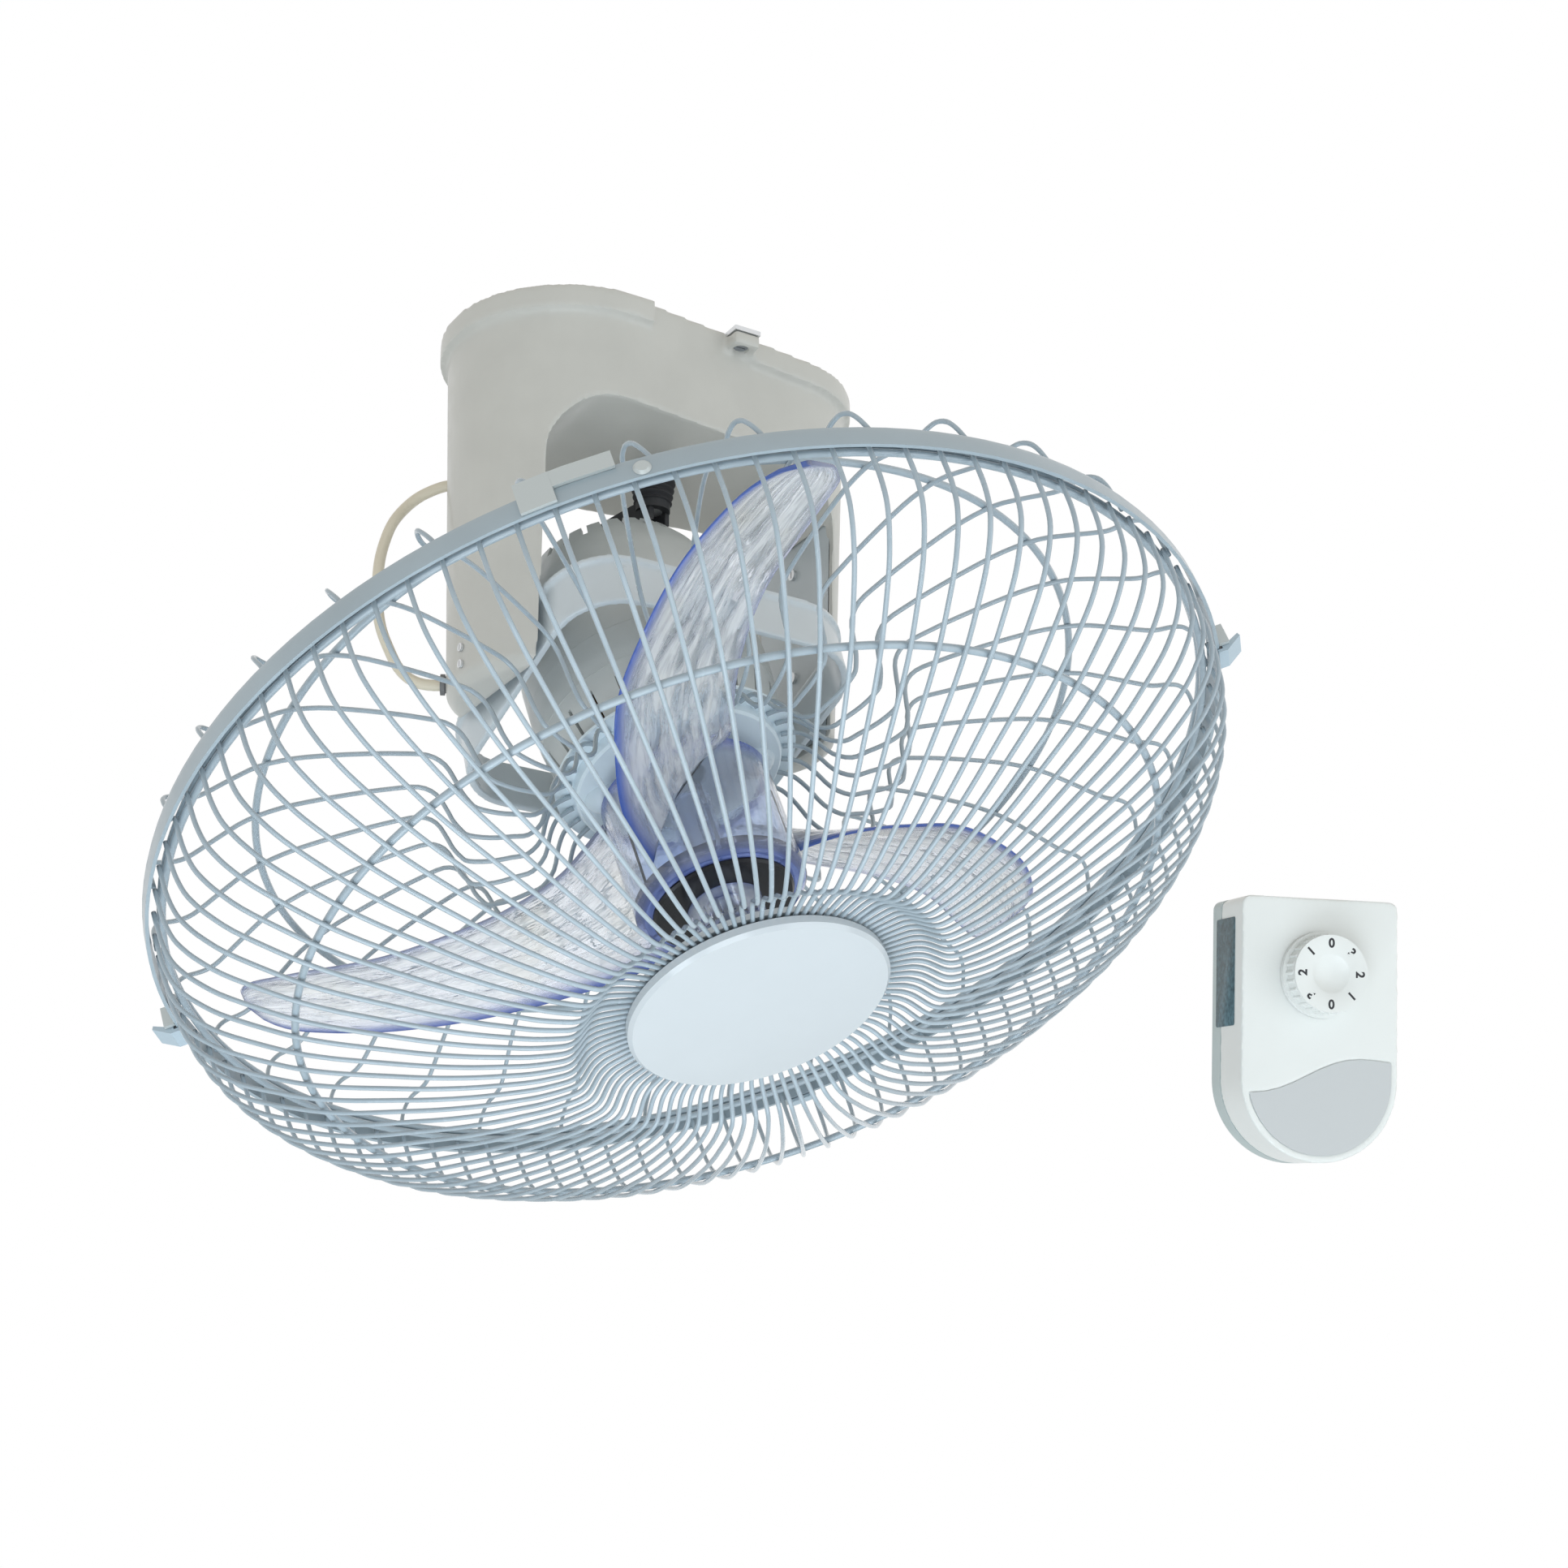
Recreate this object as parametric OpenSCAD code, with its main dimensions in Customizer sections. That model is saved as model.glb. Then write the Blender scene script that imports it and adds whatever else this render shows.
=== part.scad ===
// Orbital ceiling fan: ceiling housing with two legs, swinging frame, motor in a
// wire cage, crank drive, and the wall regulator that goes with it.
// Millimetres, +Z up. Origin: ceiling face, on the orbit axis. The legs stand along X.

/* [Orbit] */
// Ceiling face to the point where both swing axes cross
pivot_drop = 147.6; // [145:0.2:150]
// Swing of the frame about the leg pins, as photographed
frame_swing = 21.7; // [15:0.1:22.6]
// Swing of the motor about the frame pins, as photographed
motor_swing = 6.45; // [0:0.05:12]

/* [Housing] */
// Orbit axis to the centre of the large end
large_end_x = 39.4; // [38:0.2:42]
// Radius of the large end at the ceiling
large_end_r = 55; // [54:0.5:58]
// Orbit axis to the centre of the small end
small_end_x = 45.9; // [45:0.1:48]
// Radius of the small end at the ceiling
small_end_r = 44.7; // [44:0.1:48]
// Swing axes to the lowest face of the legs
foot_drop = 15.4; // [14.8:0.2:18]
// Wall of the housing
wall = 2.6; // [2:0.1:3]
// Height of the lip round the ceiling face
lip_h = 10; // [8:0.5:12]
// How far the lip stands out from the wall
lip_out = 2.9; // [2:0.1:4]
// Inward draft of the wall for each millimetre down
draft = 0.033; // [0.025:0.001:0.035]
// Half the clear width between the legs
leg_gap = 69.5; // [69:0.1:70]
// Ceiling face to the underside of the roof between the legs
roof_drop = 46; // [44:0.5:48]
// Thickness of the roof between the legs
roof_t = 3; // [2.5:0.1:3.5]
// Corner radius of the arch between the legs
arch_r = 26; // [20:1:30]
// Thickness of the plate that closes the inner side of a leg
leg_plate_t = 2.4; // [2:0.1:2.6]
// Ceiling face to the upper screws of the inner leg plates
leg_screw_high = 77; // [75:0.5:82]
// Ceiling face to the lower screws of the inner leg plates
leg_screw_low = 125; // [115:0.5:128]

/* [Ceiling plate] */
// Thickness of the steel ceiling plate
plate_t = 2; // [1.5:0.1:2.5]
// Distance between ceiling bolt holes along the housing
bolt_pitch_x = 100; // [90:1:104]
// Distance between ceiling bolt holes across the housing
bolt_pitch_y = 40; // [34:1:44]
// Radius of a ceiling bolt hole
bolt_hole_r = 2.75; // [2.2:0.05:3.2]
// Orbit axis to the ear screws, along the housing
ear_x = 13.5; // [10:0.5:16]

/* [Crank drive] */
// Gear module
gear_module = 1; // [0.9:0.05:1]
// Teeth of the crank gear
crank_teeth = 36; // [32:1:38]
// Teeth of the drive pinion
pinion_teeth = 18; // [14:1:20]
// Thickness of the gears
gear_t = 6; // [4:0.5:7]
// Radius of the crank shaft
crank_shaft_r = 4; // [3.5:0.1:4.5]
// Radius of the orbit motor
orbit_motor_r = 24.5; // [20:0.5:25]
// Height of the orbit motor
orbit_motor_h = 17; // [14:0.5:18]
// Height of the ribbed boot below the roof
boot_h = 15; // [12:0.5:16]
// Ribs of the boot
boot_ribs = 5; // [3:1:6]

/* [Swinging frame] */
// Half width of the frame along the leg pins
frame_x = 66; // [65.5:0.1:66.5]
// Half width of the frame along the motor pins
frame_y = 63; // [62:0.1:64]
// Corner radius of the frame
frame_corner = 27.3; // [24:0.1:30]
// Wall of the frame
frame_t = 3; // [2.5:0.1:3.2]
// Frame height above the pins
frame_up = 5; // [4:0.5:6]
// Frame height below the pins
frame_down = 18.5; // [16:0.5:18.5]
// Radius of the leg pins
leg_pin_r = 5; // [4:0.1:5.5]
// Radius of the motor pins
motor_pin_r = 4; // [3:0.1:4.5]

/* [Motor] */
// Largest radius of the motor covers
motor_r = 50; // [49:0.2:50.6]
// Wall of the motor covers
cover_t = 2.4; // [2:0.1:2.6]
// Radius of the castellated rear rim
crown_r = 34.8; // [33:0.2:36]
// Pivot to the castellated rear rim
crown_back = 66.7; // [65:0.1:67]
// Pivot to the front face of the motor
motor_front = 38.6; // [38:0.1:39]
// Radius of the motor shaft
shaft_r = 5; // [4:0.1:5.5]
// Vent notches in the rear rim
crown_notches = 28; // [20:1:32]
// Vent slots round the front cover
front_slots = 24; // [18:1:30]

/* [Blades] */
// Radius over the blade tips
blade_tip_r = 194; // [184:0.5:195]
// Number of blades
blade_count = 3; // [2:1:4]
// Thickness of a blade
blade_t = 2.4; // [2:0.1:3]
// Outer radius of the blade hub
hub_r = 34.6; // [33:0.1:36]
// Wall of the blade hub
hub_t = 2.2; // [1.8:0.1:2.6]
// Front face of the blade hub, from the pivot
hub_front = 108; // [106:0.5:110]

/* [Cage] */
// Outer radius of the rim band
band_r = 217; // [216.5:0.1:219]
// Width of the rim band
band_w = 9.2; // [9:0.1:9.8]
// Thickness of the rim band
band_t = 1.4; // [1.2:0.1:1.5]
// Rear edge of the rim band, from the pivot
band_back = 69.3; // [69:0.1:69.6]
// Radius of a cage wire
wire_r = 0.95; // [0.85:0.05:1.05]
// Wires of the front guard
front_wires = 96; // [60:1:98]
// Wires of the rear guard
rear_wires = 34; // [24:1:36]
// Radius of the badge on the front guard
badge_r = 51.8; // [51:0.1:54]

/* [Regulator] */
// Width of the regulator
reg_w = 73; // [70:0.5:78]
// Height of the regulator
reg_h = 116; // [112:0.5:120]
// Depth of the regulator
reg_d = 36; // [34:0.5:40]
// Wall of the regulator
reg_t = 2; // [1.6:0.1:2.4]
// Radius of the dial
dial_r = 17; // [16:0.1:18.5]
// Height of the dial
dial_h = 12; // [10:0.5:14]

/* [Hidden] */
$fn = 64;
// Height of the housing
housing_h = pivot_drop + foot_drop;

gap = 0.3;          // clearance between pieces that move past each other
fit = 0.05;         // radial clearance of a turning fit
seat = 0.1;         // clearance of a seated piece

floor_z = -roof_drop + roof_t;
mesh_gap = 0.25;
crank_pitch_r = gear_module * crank_teeth / 2;
pinion_pitch_r = gear_module * pinion_teeth / 2;
gear_distance = crank_pitch_r + pinion_pitch_r + mesh_gap;
gear_plate_t = 2;
gear_plate_z = floor_z + 16;
gear_z = floor_z + 8;
pinion_shaft_r = 2.5;
post_r = 4;
post_x = [-crank_pitch_r - 8, gear_distance + 25];
post_y = 15;

swing_clear = 77.4;  // the crank keeps outside this sphere round the pivot
cup_inside = 76.4;
stud_reach = 76;
tail_azimuth = 107;
tail_angle = 22.6;

band_slope = [1, 2.8];
// Clearance between the wire ends and the band round them
band_seat = 0.45;
// Clearance between a ring and the wires that it carries
ring_seat = 0.55;
rim_wire_r = band_r - band_slope[0] - band_t - band_seat - wire_r;
badge_back = 153.8;
wire_end = badge_back - wire_r - 0.65;
// Radius inside which the wires keep their place when the rim grows
still_r = 104;
drawn_rim_r = 213.2;

// Point of a wire or ring, drawn for a rim of drawn_rim_r, moved out with the real rim
function stretched(p) =
    p[0] <= still_r ? p
        : [still_r + (p[0] - still_r) * (rim_wire_r - still_r) / (drawn_rim_r - still_r), p[1]];

front_profile = [for (p = [
    [drawn_rim_r, 75], [212.4, 90], [207.3, 103.8], [196, 115.8], [172, 131.3], [150, 141],
    [120, 152], [90, 159.8], [75, 160.5], [66, 155.2], [58, wire_end], [46, wire_end]
]) stretched(p)];
rear_profile = [for (p = [
    [drawn_rim_r, 73], [213, 60.5], [211.2, 57.2], [203, 56.3], [195, 53], [183, 45.8],
    [172, 39.9], [158, 36], [143, 34.2], [115, 33], [104, 33.7], [98, 38.5], [94.5, 52],
    [90, 60.2], [82, 62.6], [67, 63.4], [60.5, 58.5], [56, 49.5], [52, 44], [48, 42], [44, 41.1]
]) stretched(p)];

bush_r = 8;
bush_l = 8.4;
ear_y = small_end_r + 4.4;
ear_h = 6;
ear_w = 12;
ear_root = 8;
ear_l = ear_root + ear_w / 2;
ear_screw_head_r = 3;
ear_pocket = 3.4;
leg_screw_r = 1.3;
leg_screw_drop = [leg_screw_high, leg_screw_low];

// ---------- helpers ----------
function unit(v) = v / norm(v);
function pick(v, i) = v[max(0, min(len(v) - 1, i))];
function tangent(path, i) = unit(pick(path, i + 1) - pick(path, i - 1));

// Value at place t (0 to len-1) on a smooth curve through the listed values
function spline(v, t) =
    let (i = min(floor(t), len(v) - 2), s = t - i,
         a = pick(v, i - 1), b = pick(v, i), c = pick(v, i + 1), d = pick(v, i + 2))
    b + 0.5 * s * ((c - a) + s * ((2 * a - 5 * b + 4 * c - d) + s * (3 * (b - c) + d - a)));

// Rings of points round a path; side_dir lies across the path everywhere
function tube_points(path, radii, sides, side_dir, turn = 0) = [
    for (i = [0 : len(path) - 1])
        let (t = tangent(path, i), n = unit(cross(t, side_dir)), b = cross(n, t))
        for (k = [0 : sides - 1])
            path[i] + pick(radii, i) * (cos(turn + 360 * k / sides) * n
                                        + sin(turn + 360 * k / sides) * b)
];

function tube_faces(rings, sides) = concat(
    [[for (k = [sides - 1 : -1 : 0]) k]],
    [[for (k = [0 : sides - 1]) (rings - 1) * sides + k]],
    [
        for (i = [0 : rings - 2], k = [0 : sides - 1], half = [0, 1])
            let (a = i * sides + k, b = i * sides + (k + 1) % sides)
            half == 0 ? [a, b, b + sides] : [a, b + sides, a + sides]
    ]
);

module tube(path, radii, sides, side_dir, turn = 0) {
    polyhedron(
        points = tube_points(path, radii, sides, side_dir, turn),
        faces = tube_faces(len(path), sides)
    );
}

module ring(outer, inner, h) {
    difference() {
        cylinder(r = outer, h = h);
        translate([0, 0, -1]) cylinder(r = inner, h = h + 2);
    }
}

// Turned part from [radius, forward] points; forward is along local -Z
module turned(points) {
    rotate_extrude() polygon([for (p = points) [p[0], -p[1]]]);
}

module wire_ring(r, forward, thickness_r) {
    rotate_extrude() translate([r, -forward]) circle(r = thickness_r, $fn = 16);
}

module at_pivot() {
    translate([0, 0, -pivot_drop]) children();
}

module in_frame() {
    at_pivot() rotate([-frame_swing, 0, 0]) children();
}

module in_head() {
    in_frame() rotate([0, -motor_swing, 0]) children();
}

// Pan-head screw, head up, seat of the head at z = 0
module screw(shank_r, length, head_r) {
    head_h = head_r * 0.6;
    difference() {
        union() {
            translate([0, 0, -length]) cylinder(r = shank_r, h = length + head_h / 2, $fn = 24);
            cylinder(r = head_r, h = head_h, $fn = 32);
        }
        translate([-head_r * 0.7, -head_r * 0.12, head_h * 0.55])
            cube([head_r * 1.4, head_r * 0.24, head_h]);
    }
}

// ---------- housing ----------
module oblong(h, inset_top, inset_low) {
    hull() {
        translate([-large_end_x, 0, -h])
            cylinder(r1 = large_end_r - inset_low, r2 = large_end_r - inset_top, h = h);
        translate([small_end_x, 0, -h])
            cylinder(r1 = small_end_r - inset_low, r2 = small_end_r - inset_top, h = h);
    }
}

module housing_body() {
    bevel = 4;
    low = lip_out + draft * housing_h;
    hull() {
        oblong(housing_h - bevel, lip_out, lip_out + draft * (housing_h - bevel));
        oblong(housing_h, lip_out + bevel, low + bevel);
    }
}

module arch_cut(reach) {
    top = -roof_drop;
    low = -housing_h - 1;
    rotate([90, 0, 0]) linear_extrude(height = 2 * reach, center = true) {
        translate([-leg_gap, low]) square([2 * leg_gap, top - arch_r - low]);
        translate([-leg_gap + arch_r, low]) square([2 * (leg_gap - arch_r), top - low]);
        for (s = [-1, 1])
            translate([s * (leg_gap - arch_r), top - arch_r]) circle(r = arch_r);
    }
}

module inner_space(slack) {
    inset = lip_out + wall + slack;
    oblong(housing_h - wall - slack, inset, inset + draft * housing_h);
}

module ear_pads(thickness) {
    for (s = [-1, 1])
        translate([ear_x - ear_w / 2, s * (ear_y - ear_root / 2 + ear_w / 4) - ear_l / 2, -thickness])
            cube([ear_w, ear_l, thickness]);
}

module housing() {
    big = 200;
    lip_break_left = -30;
    lip_break_right = 21;
    color("#efece4") {
        difference() {
            union() {
                difference() {
                    oblong(lip_h, 0, 0);
                    translate([lip_break_left, -big / 2, -lip_h - 1])
                        cube([lip_break_right - lip_break_left, big, lip_h + 2]);
                }
                housing_body();
                translate([0, 0, -plate_t]) ear_pads(ear_h);
            }
            // Hollow above the roof and down both legs
            difference() {
                translate([0, 0, 1]) inner_space(0);
                translate([-leg_gap, -big / 2, -housing_h - 1])
                    cube([2 * leg_gap, big, housing_h + 1 + floor_z]);
            }
            arch_cut(big / 2);
            // Room for the ears of the ceiling plate
            for (s = [-1, 1])
                translate([ear_x - ear_w / 2 - seat, s * big / 2 - big / 2, -plate_t])
                    cube([ear_w + 2 * seat, big, plate_t + 1]);
            for (s = [-1, 1]) translate([ear_x, s * ear_y, -lip_h]) {
                cylinder(r = 2.2, h = lip_h + 1);
                translate([0, 0, lip_h - plate_t - ear_h - 1])
                    cylinder(r = ear_screw_head_r + gap, h = ear_pocket + 1);
            }
            translate([0, 0, -roof_drop - 1]) cylinder(r = 7 + fit, h = roof_t + 2);
            // Cable holes: near the ceiling and at the foot of the large leg
            cable_hole(cable_exit, 2.6);
            cable_hole(cable_entry, grommet_r);
            for (p = clamp_points) cable_hole(p, 1.2);
        }
        // Posts under the gearbox plate
        for (x = post_x, y = [-post_y, post_y])
            translate([x, y, floor_z]) ring(post_r, 1.2, gear_plate_z - floor_z);
        // Screw posts behind the inner leg plates
        for (z = leg_screw_drop) {
            leg_post(-1, z, large_end_x + large_end_r);
            leg_post(1, z, small_end_x + small_end_r);
        }
    }
}

module leg_post(side, drop, end_x) {
    from = leg_gap + leg_plate_t;
    to = end_x - lip_out - draft * drop - wall / 2;
    translate([side * from, 0, -drop]) rotate([0, side * 90, 0])
        ring(3.4, leg_screw_r - seat, to - from);
}

// Radius of the large end at a height
function large_r_at(z) = large_end_r - lip_out + draft * z;
// Point on the outside of the large end: [angle, z] and distance out from the wall
function on_large_end(p, out) = [
    -large_end_x + (large_r_at(p[1]) + out) * cos(p[0]),
    (large_r_at(p[1]) + out) * sin(p[0]),
    p[1]
];

cable_exit = [138, -58];
cable_entry = [151, -153];
clamp_points = [[184, -148], [184, -155]];
grommet_r = 3.5;
grommet_lip = [0.8, 1.8];

// Bore through the wall of the large end, square to it
module cable_hole(p, r) {
    translate(on_large_end(p, -10)) rotate([0, 90, p[0]]) cylinder(r = r, h = 20, $fn = 32);
}

module ceiling_plate() {
    color("#b9bcc0") difference() {
        union() {
            oblong(plate_t, lip_out + wall + seat, lip_out + wall + seat);
            ear_pads(plate_t);
        }
        for (x = [-1, 1] * bolt_pitch_x / 2, y = [-1, 1] * bolt_pitch_y / 2)
            translate([x, y, -plate_t - 1]) cylinder(r = bolt_hole_r, h = plate_t + 2);
        for (s = [-1, 1])
            translate([ear_x, s * ear_y, -plate_t - 1]) cylinder(r = 1.8, h = plate_t + 2);
        // Wire opening over the terminal block
        translate([-52, 0, -plate_t - 1]) cylinder(r = 12, h = plate_t + 2);
    }
}

module ear_screws() {
    color("silver") for (s = [-1, 1])
        translate([ear_x, s * ear_y, -plate_t - ear_h + ear_pocket]) rotate([180, 0, 0])
            screw(1.75, ear_h + plate_t - ear_pocket, ear_screw_head_r);
}

// Plate that closes the inner side of one leg, with the boss for the pin bush
module leg_plate(side) {
    plate_low = housing_h - wall - 1.5;
    difference() {
        union() {
            intersection() {
                inner_space(seat);
                translate([side > 0 ? leg_gap : -leg_gap - leg_plate_t, -60, -plate_low])
                    cube([leg_plate_t, 120, plate_low - roof_drop - 1]);
            }
            translate([side * leg_gap, 0, -pivot_drop]) rotate([0, side * 90, 0])
                translate([0, 0, leg_plate_t / 2]) cylinder(r = bush_r + 2.5, h = bush_l - 1.5);
        }
        translate([side * (leg_gap - 1), 0, -pivot_drop]) rotate([0, side * 90, 0])
            cylinder(r = bush_r + 0.02, h = 20);
        for (z = leg_screw_drop)
            translate([side * (leg_gap - 1), 0, -z]) rotate([0, side * 90, 0])
                cylinder(r = leg_screw_r + seat, h = 6, $fn = 24);
    }
}

module leg_plate_left() {
    color("#dfe7ea") leg_plate(-1);
}

module leg_plate_right() {
    color("#dfe7ea") leg_plate(1);
}

module leg_plate_screws() {
    color("silver") for (s = [-1, 1], z = leg_screw_drop)
        translate([s * leg_gap, 0, -z]) rotate([0, -s * 90, 0])
            screw(leg_screw_r - 2 * seat, 7, 2.4);
}

module leg_bushes() {
    color("#b08d57") for (s = [-1, 1])
        translate([s * leg_gap, 0, -pivot_drop]) rotate([0, s * 90, 0])
            ring(bush_r, leg_pin_r + fit, bush_l);
}

module terminal_block() {
    block = [20, 26, 12];
    color("#f4f4f0") translate([-66, -block[1] / 2, floor_z]) difference() {
        cube(block);
        for (y = [5, 13, 21])
            translate([block[0] / 2, y, 4]) cylinder(r = 2, h = block[2], $fn = 24);
    }
}

module capacitor() {
    size = [30, 16, 22];
    color("#2b2b2e") translate([-59, 22, floor_z]) cube(size);
}

// ---------- crank drive ----------
function involute(base_r, a) =
    base_r * [cos(a) + a * PI / 180 * sin(a), sin(a) - a * PI / 180 * cos(a)];
function turned_by(p, a) = [p[0] * cos(a) - p[1] * sin(a), p[0] * sin(a) + p[1] * cos(a)];
// Roll angle at which the involute reaches a radius
function roll_at(base_r, r) = sqrt(max(0, pow(r / base_r, 2) - 1)) * 180 / PI;

function gear_outline(teeth, backlash = 0.12) =
    let (pitch_r = gear_module * teeth / 2, base_r = pitch_r * cos(20),
         tip_r = pitch_r + gear_module * 0.95, root_r = pitch_r - gear_module * 1.25,
         roll_p = roll_at(base_r, pitch_r),
         flank_p = involute(base_r, roll_p),
         half = 90 / teeth - backlash / pitch_r * 180 / PI / 2 + atan2(flank_p[1], flank_p[0]))
    [
        for (k = [0 : teeth - 1])
            let (mid = 360 * k / teeth)
            for (p = concat(
                [[root_r * cos(-half), root_r * sin(-half)]],
                [for (s = [0, 0.5, 1]) turned_by(involute(base_r, s * roll_at(base_r, tip_r)), -half)],
                [for (s = [1, 0.5, 0])
                    let (q = involute(base_r, s * roll_at(base_r, tip_r)))
                    turned_by([q[0], -q[1]], half)],
                [[root_r * cos(half), root_r * sin(half)]]))
                turned_by(p, mid)
    ];

module gearbox_plate() {
    x_low = post_x[0] - post_r - 1;
    x_high = post_x[1] + post_r + 1;
    color("#c9ccd0") translate([0, 0, gear_plate_z]) difference() {
        translate([x_low, -post_y - post_r - 1, 0])
            cube([x_high - x_low, 2 * (post_y + post_r + 1), gear_plate_t]);
        translate([0, 0, -1]) cylinder(r = crank_shaft_r + fit, h = gear_plate_t + 2);
        translate([gear_distance, 0, -1]) cylinder(r = 6, h = gear_plate_t + 2);
        for (x = post_x, y = [-post_y, post_y])
            translate([x, y, -1]) cylinder(r = 1.6, h = gear_plate_t + 2, $fn = 24);
    }
}

module gearbox_screws() {
    color("silver") for (x = post_x, y = [-post_y, post_y])
        translate([x, y, gear_plate_z + gear_plate_t]) screw(1.1, gear_plate_t + 8, 2.8);
}

module orbit_motor() {
    color("#d8dadd") translate([gear_distance, 0, gear_plate_z + gear_plate_t]) difference() {
        union() {
            cylinder(r = orbit_motor_r, h = orbit_motor_h);
            translate([0, 0, -gear_plate_t]) cylinder(r = 5.5, h = gear_plate_t + 1);
        }
        translate([0, 0, -gear_plate_t - 1]) cylinder(r = pinion_shaft_r + fit, h = 12);
    }
}

module pinion() {
    color("#f2efe6") translate([gear_distance, 0, gear_z]) {
        linear_extrude(height = gear_t) rotate(180 / pinion_teeth) polygon(gear_outline(pinion_teeth));
        cylinder(r = pinion_shaft_r, h = gear_plate_z - gear_z + 8);
    }
}

module crank_bush() {
    color("#b08d57") translate([0, 0, -roof_drop]) difference() {
        union() {
            cylinder(r = 7, h = roof_t + 1);
            translate([0, 0, roof_t]) cylinder(r = 10, h = 3);
        }
        translate([0, 0, -1]) cylinder(r = crank_shaft_r + fit, h = roof_t + 6);
    }
}

module crank_gear() {
    color("#f2efe6") translate([0, 0, gear_z]) difference() {
        union() {
            linear_extrude(height = gear_t) polygon(gear_outline(crank_teeth));
            translate([0, 0, -3]) cylinder(r = 8, h = 4);
        }
        translate([0, 0, -4]) cylinder(r = crank_shaft_r + 0.02, h = gear_t + 6);
        for (a = [0 : 60 : 300])
            rotate(a) translate([11.5, 0, -1]) cylinder(r = 2.6, h = gear_t + 2, $fn = 24);
    }
}

shaft_low = -roof_drop - boot_h - 4;

module crank_shaft() {
    shaft_top = gear_plate_z + gear_plate_t - 0.4;
    color("#9a9da2") translate([0, 0, shaft_low]) cylinder(r = crank_shaft_r, h = shaft_top - shaft_low);
}

// Fork that carries the tail of the motor round; the cup faces the pivot
module crank_fork() {
    hub_low = shaft_low;
    hub_top = -roof_drop - boot_h - gap;
    hub_ring_r = 7.3;
    arm_t = 2.4;
    arm_y = 4.6;
    color("#26272b") difference() {
        rotate(tail_azimuth) {
            translate([0, 0, hub_low]) cylinder(r = hub_ring_r, h = hub_top - hub_low);
            for (s = [-1, 1])
                translate([0, s * arm_y + arm_t / 2, 0]) rotate([90, 0, 0])
                    linear_extrude(height = arm_t)
                        polygon([[-4, hub_top - 0.4], [7, hub_top - 0.4], [24, hub_top - 2.6],
                                 [36.5, -70.2], [37.5, -73.5], [36, -82], [-4, -82]]);
            at_pivot() rotate([0, tail_angle, 0]) translate([0, 0, cup_inside])
                cylinder(r = 7.6, h = 6);
        }
        at_pivot() sphere(r = swing_clear, $fn = 96);
        translate([0, 0, hub_low - 1]) cylinder(r = crank_shaft_r + 0.02, h = 20);
    }
}

module crank_boot() {
    sides = 8;
    rib_out = 1.1;
    top_r = 9.2;
    low_r = 7;
    rings = 2 * boot_ribs + 1;
    path = [for (i = [0 : rings - 1]) [0, 0, -roof_drop - boot_h * i / (rings - 1)]];
    radii = [
        for (i = [0 : rings - 1])
            top_r + (low_r - top_r) * i / (rings - 1) + (i % 2 == 0 ? rib_out : -rib_out / 2)
    ];
    color("#1d1e21") difference() {
        tube(path, radii, sides, [1, 0, 0]);
        translate([0, 0, -roof_drop - boot_h - 1])
            cylinder(r = crank_shaft_r + gap, h = boot_h + 2);
    }
}

// ---------- supply cable ----------
cable_r = 2.3;
cable_points = [
    [-73.7, 30.9, -58], [-78.1, 34.8, -58], [-82, 38.1, -59.2], [-87.4, 41.9, -62.5],
    [-92.6, 43.9, -68.1], [-97.9, 43.5, -76.3], [-101, 43.4, -84.9], [-103.6, 42, -95.2],
    [-105, 39.9, -105.9], [-105.2, 38.4, -116.6], [-103.6, 37.6, -127.3], [-99.5, 37.7, -136.2],
    [-96, 35.2, -144.6], [-92.1, 31.1, -150.3], [-86.6, 26.4, -153.1], [-78, 21.4, -153]
];

module supply_cable() {
    steps = 30;
    path = [for (i = [0 : steps]) spline(cable_points, i * (len(cable_points) - 1) / steps)];
    color("#d9cfb8") tube(path, [cable_r], 8, [0.5, 0.86, 0]);
}

module cable_grommet() {
    color("#3c3d40") translate(on_large_end(cable_entry, 0)) rotate([0, 90, cable_entry[0]])
        difference() {
            union() {
                translate([0, 0, -wall - 1]) cylinder(r = grommet_r - seat, h = wall + 2);
                translate([0, 0, 0.4]) cylinder(r = grommet_r + grommet_lip[0], h = grommet_lip[1]);
            }
            translate([0, 0, -wall - 2]) cylinder(r = cable_r + 0.5, h = wall + 8);
        }
}

module cord_clamp() {
    color("#8d9094") for (p = clamp_points)
        translate(on_large_end(p, 0)) rotate([0, 90, p[0]]) screw(1.1, wall + 3, 1.7);
}

// ---------- swinging frame ----------
motor_pin_head_r = 6.5;

module rounded_rect(half_x, half_y, r) {
    hull() for (x = [-1, 1], y = [-1, 1])
        translate([x * (half_x - r), y * (half_y - r)]) circle(r = r, $fn = 48);
}

module frame() {
    rim_out = 1.8;
    rim_h = 2.5;
    pad_r = 9;
    pocket_r = motor_pin_head_r + gap;
    height = frame_up + frame_down;
    color("#e4e8e8") in_frame() difference() {
        union() {
            translate([0, 0, -frame_down]) linear_extrude(height = height)
                rounded_rect(frame_x, frame_y, frame_corner);
            translate([0, 0, frame_up - rim_h]) linear_extrude(height = rim_h)
                rounded_rect(frame_x + rim_out, frame_y + rim_out, frame_corner + rim_out);
            for (s = [-1, 1]) rotate([0, s * 90, 0])
                cylinder(r = pad_r, h = leg_gap - gap);
        }
        translate([0, 0, -frame_down - 1]) linear_extrude(height = frame_down + pad_r + 2)
            rounded_rect(frame_x - frame_t, frame_y - frame_t, frame_corner - frame_t);
        rotate([0, 90, 0]) cylinder(r = leg_pin_r + 0.02, h = 200, center = true);
        rotate([90, 0, 0]) cylinder(r = motor_pin_r + fit, h = 200, center = true);
        for (s = [-1, 1]) rotate([s * 90, 0, 0])
            translate([0, 0, frame_y]) cylinder(r = pocket_r, h = rim_out + 1);
    }
}

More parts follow.
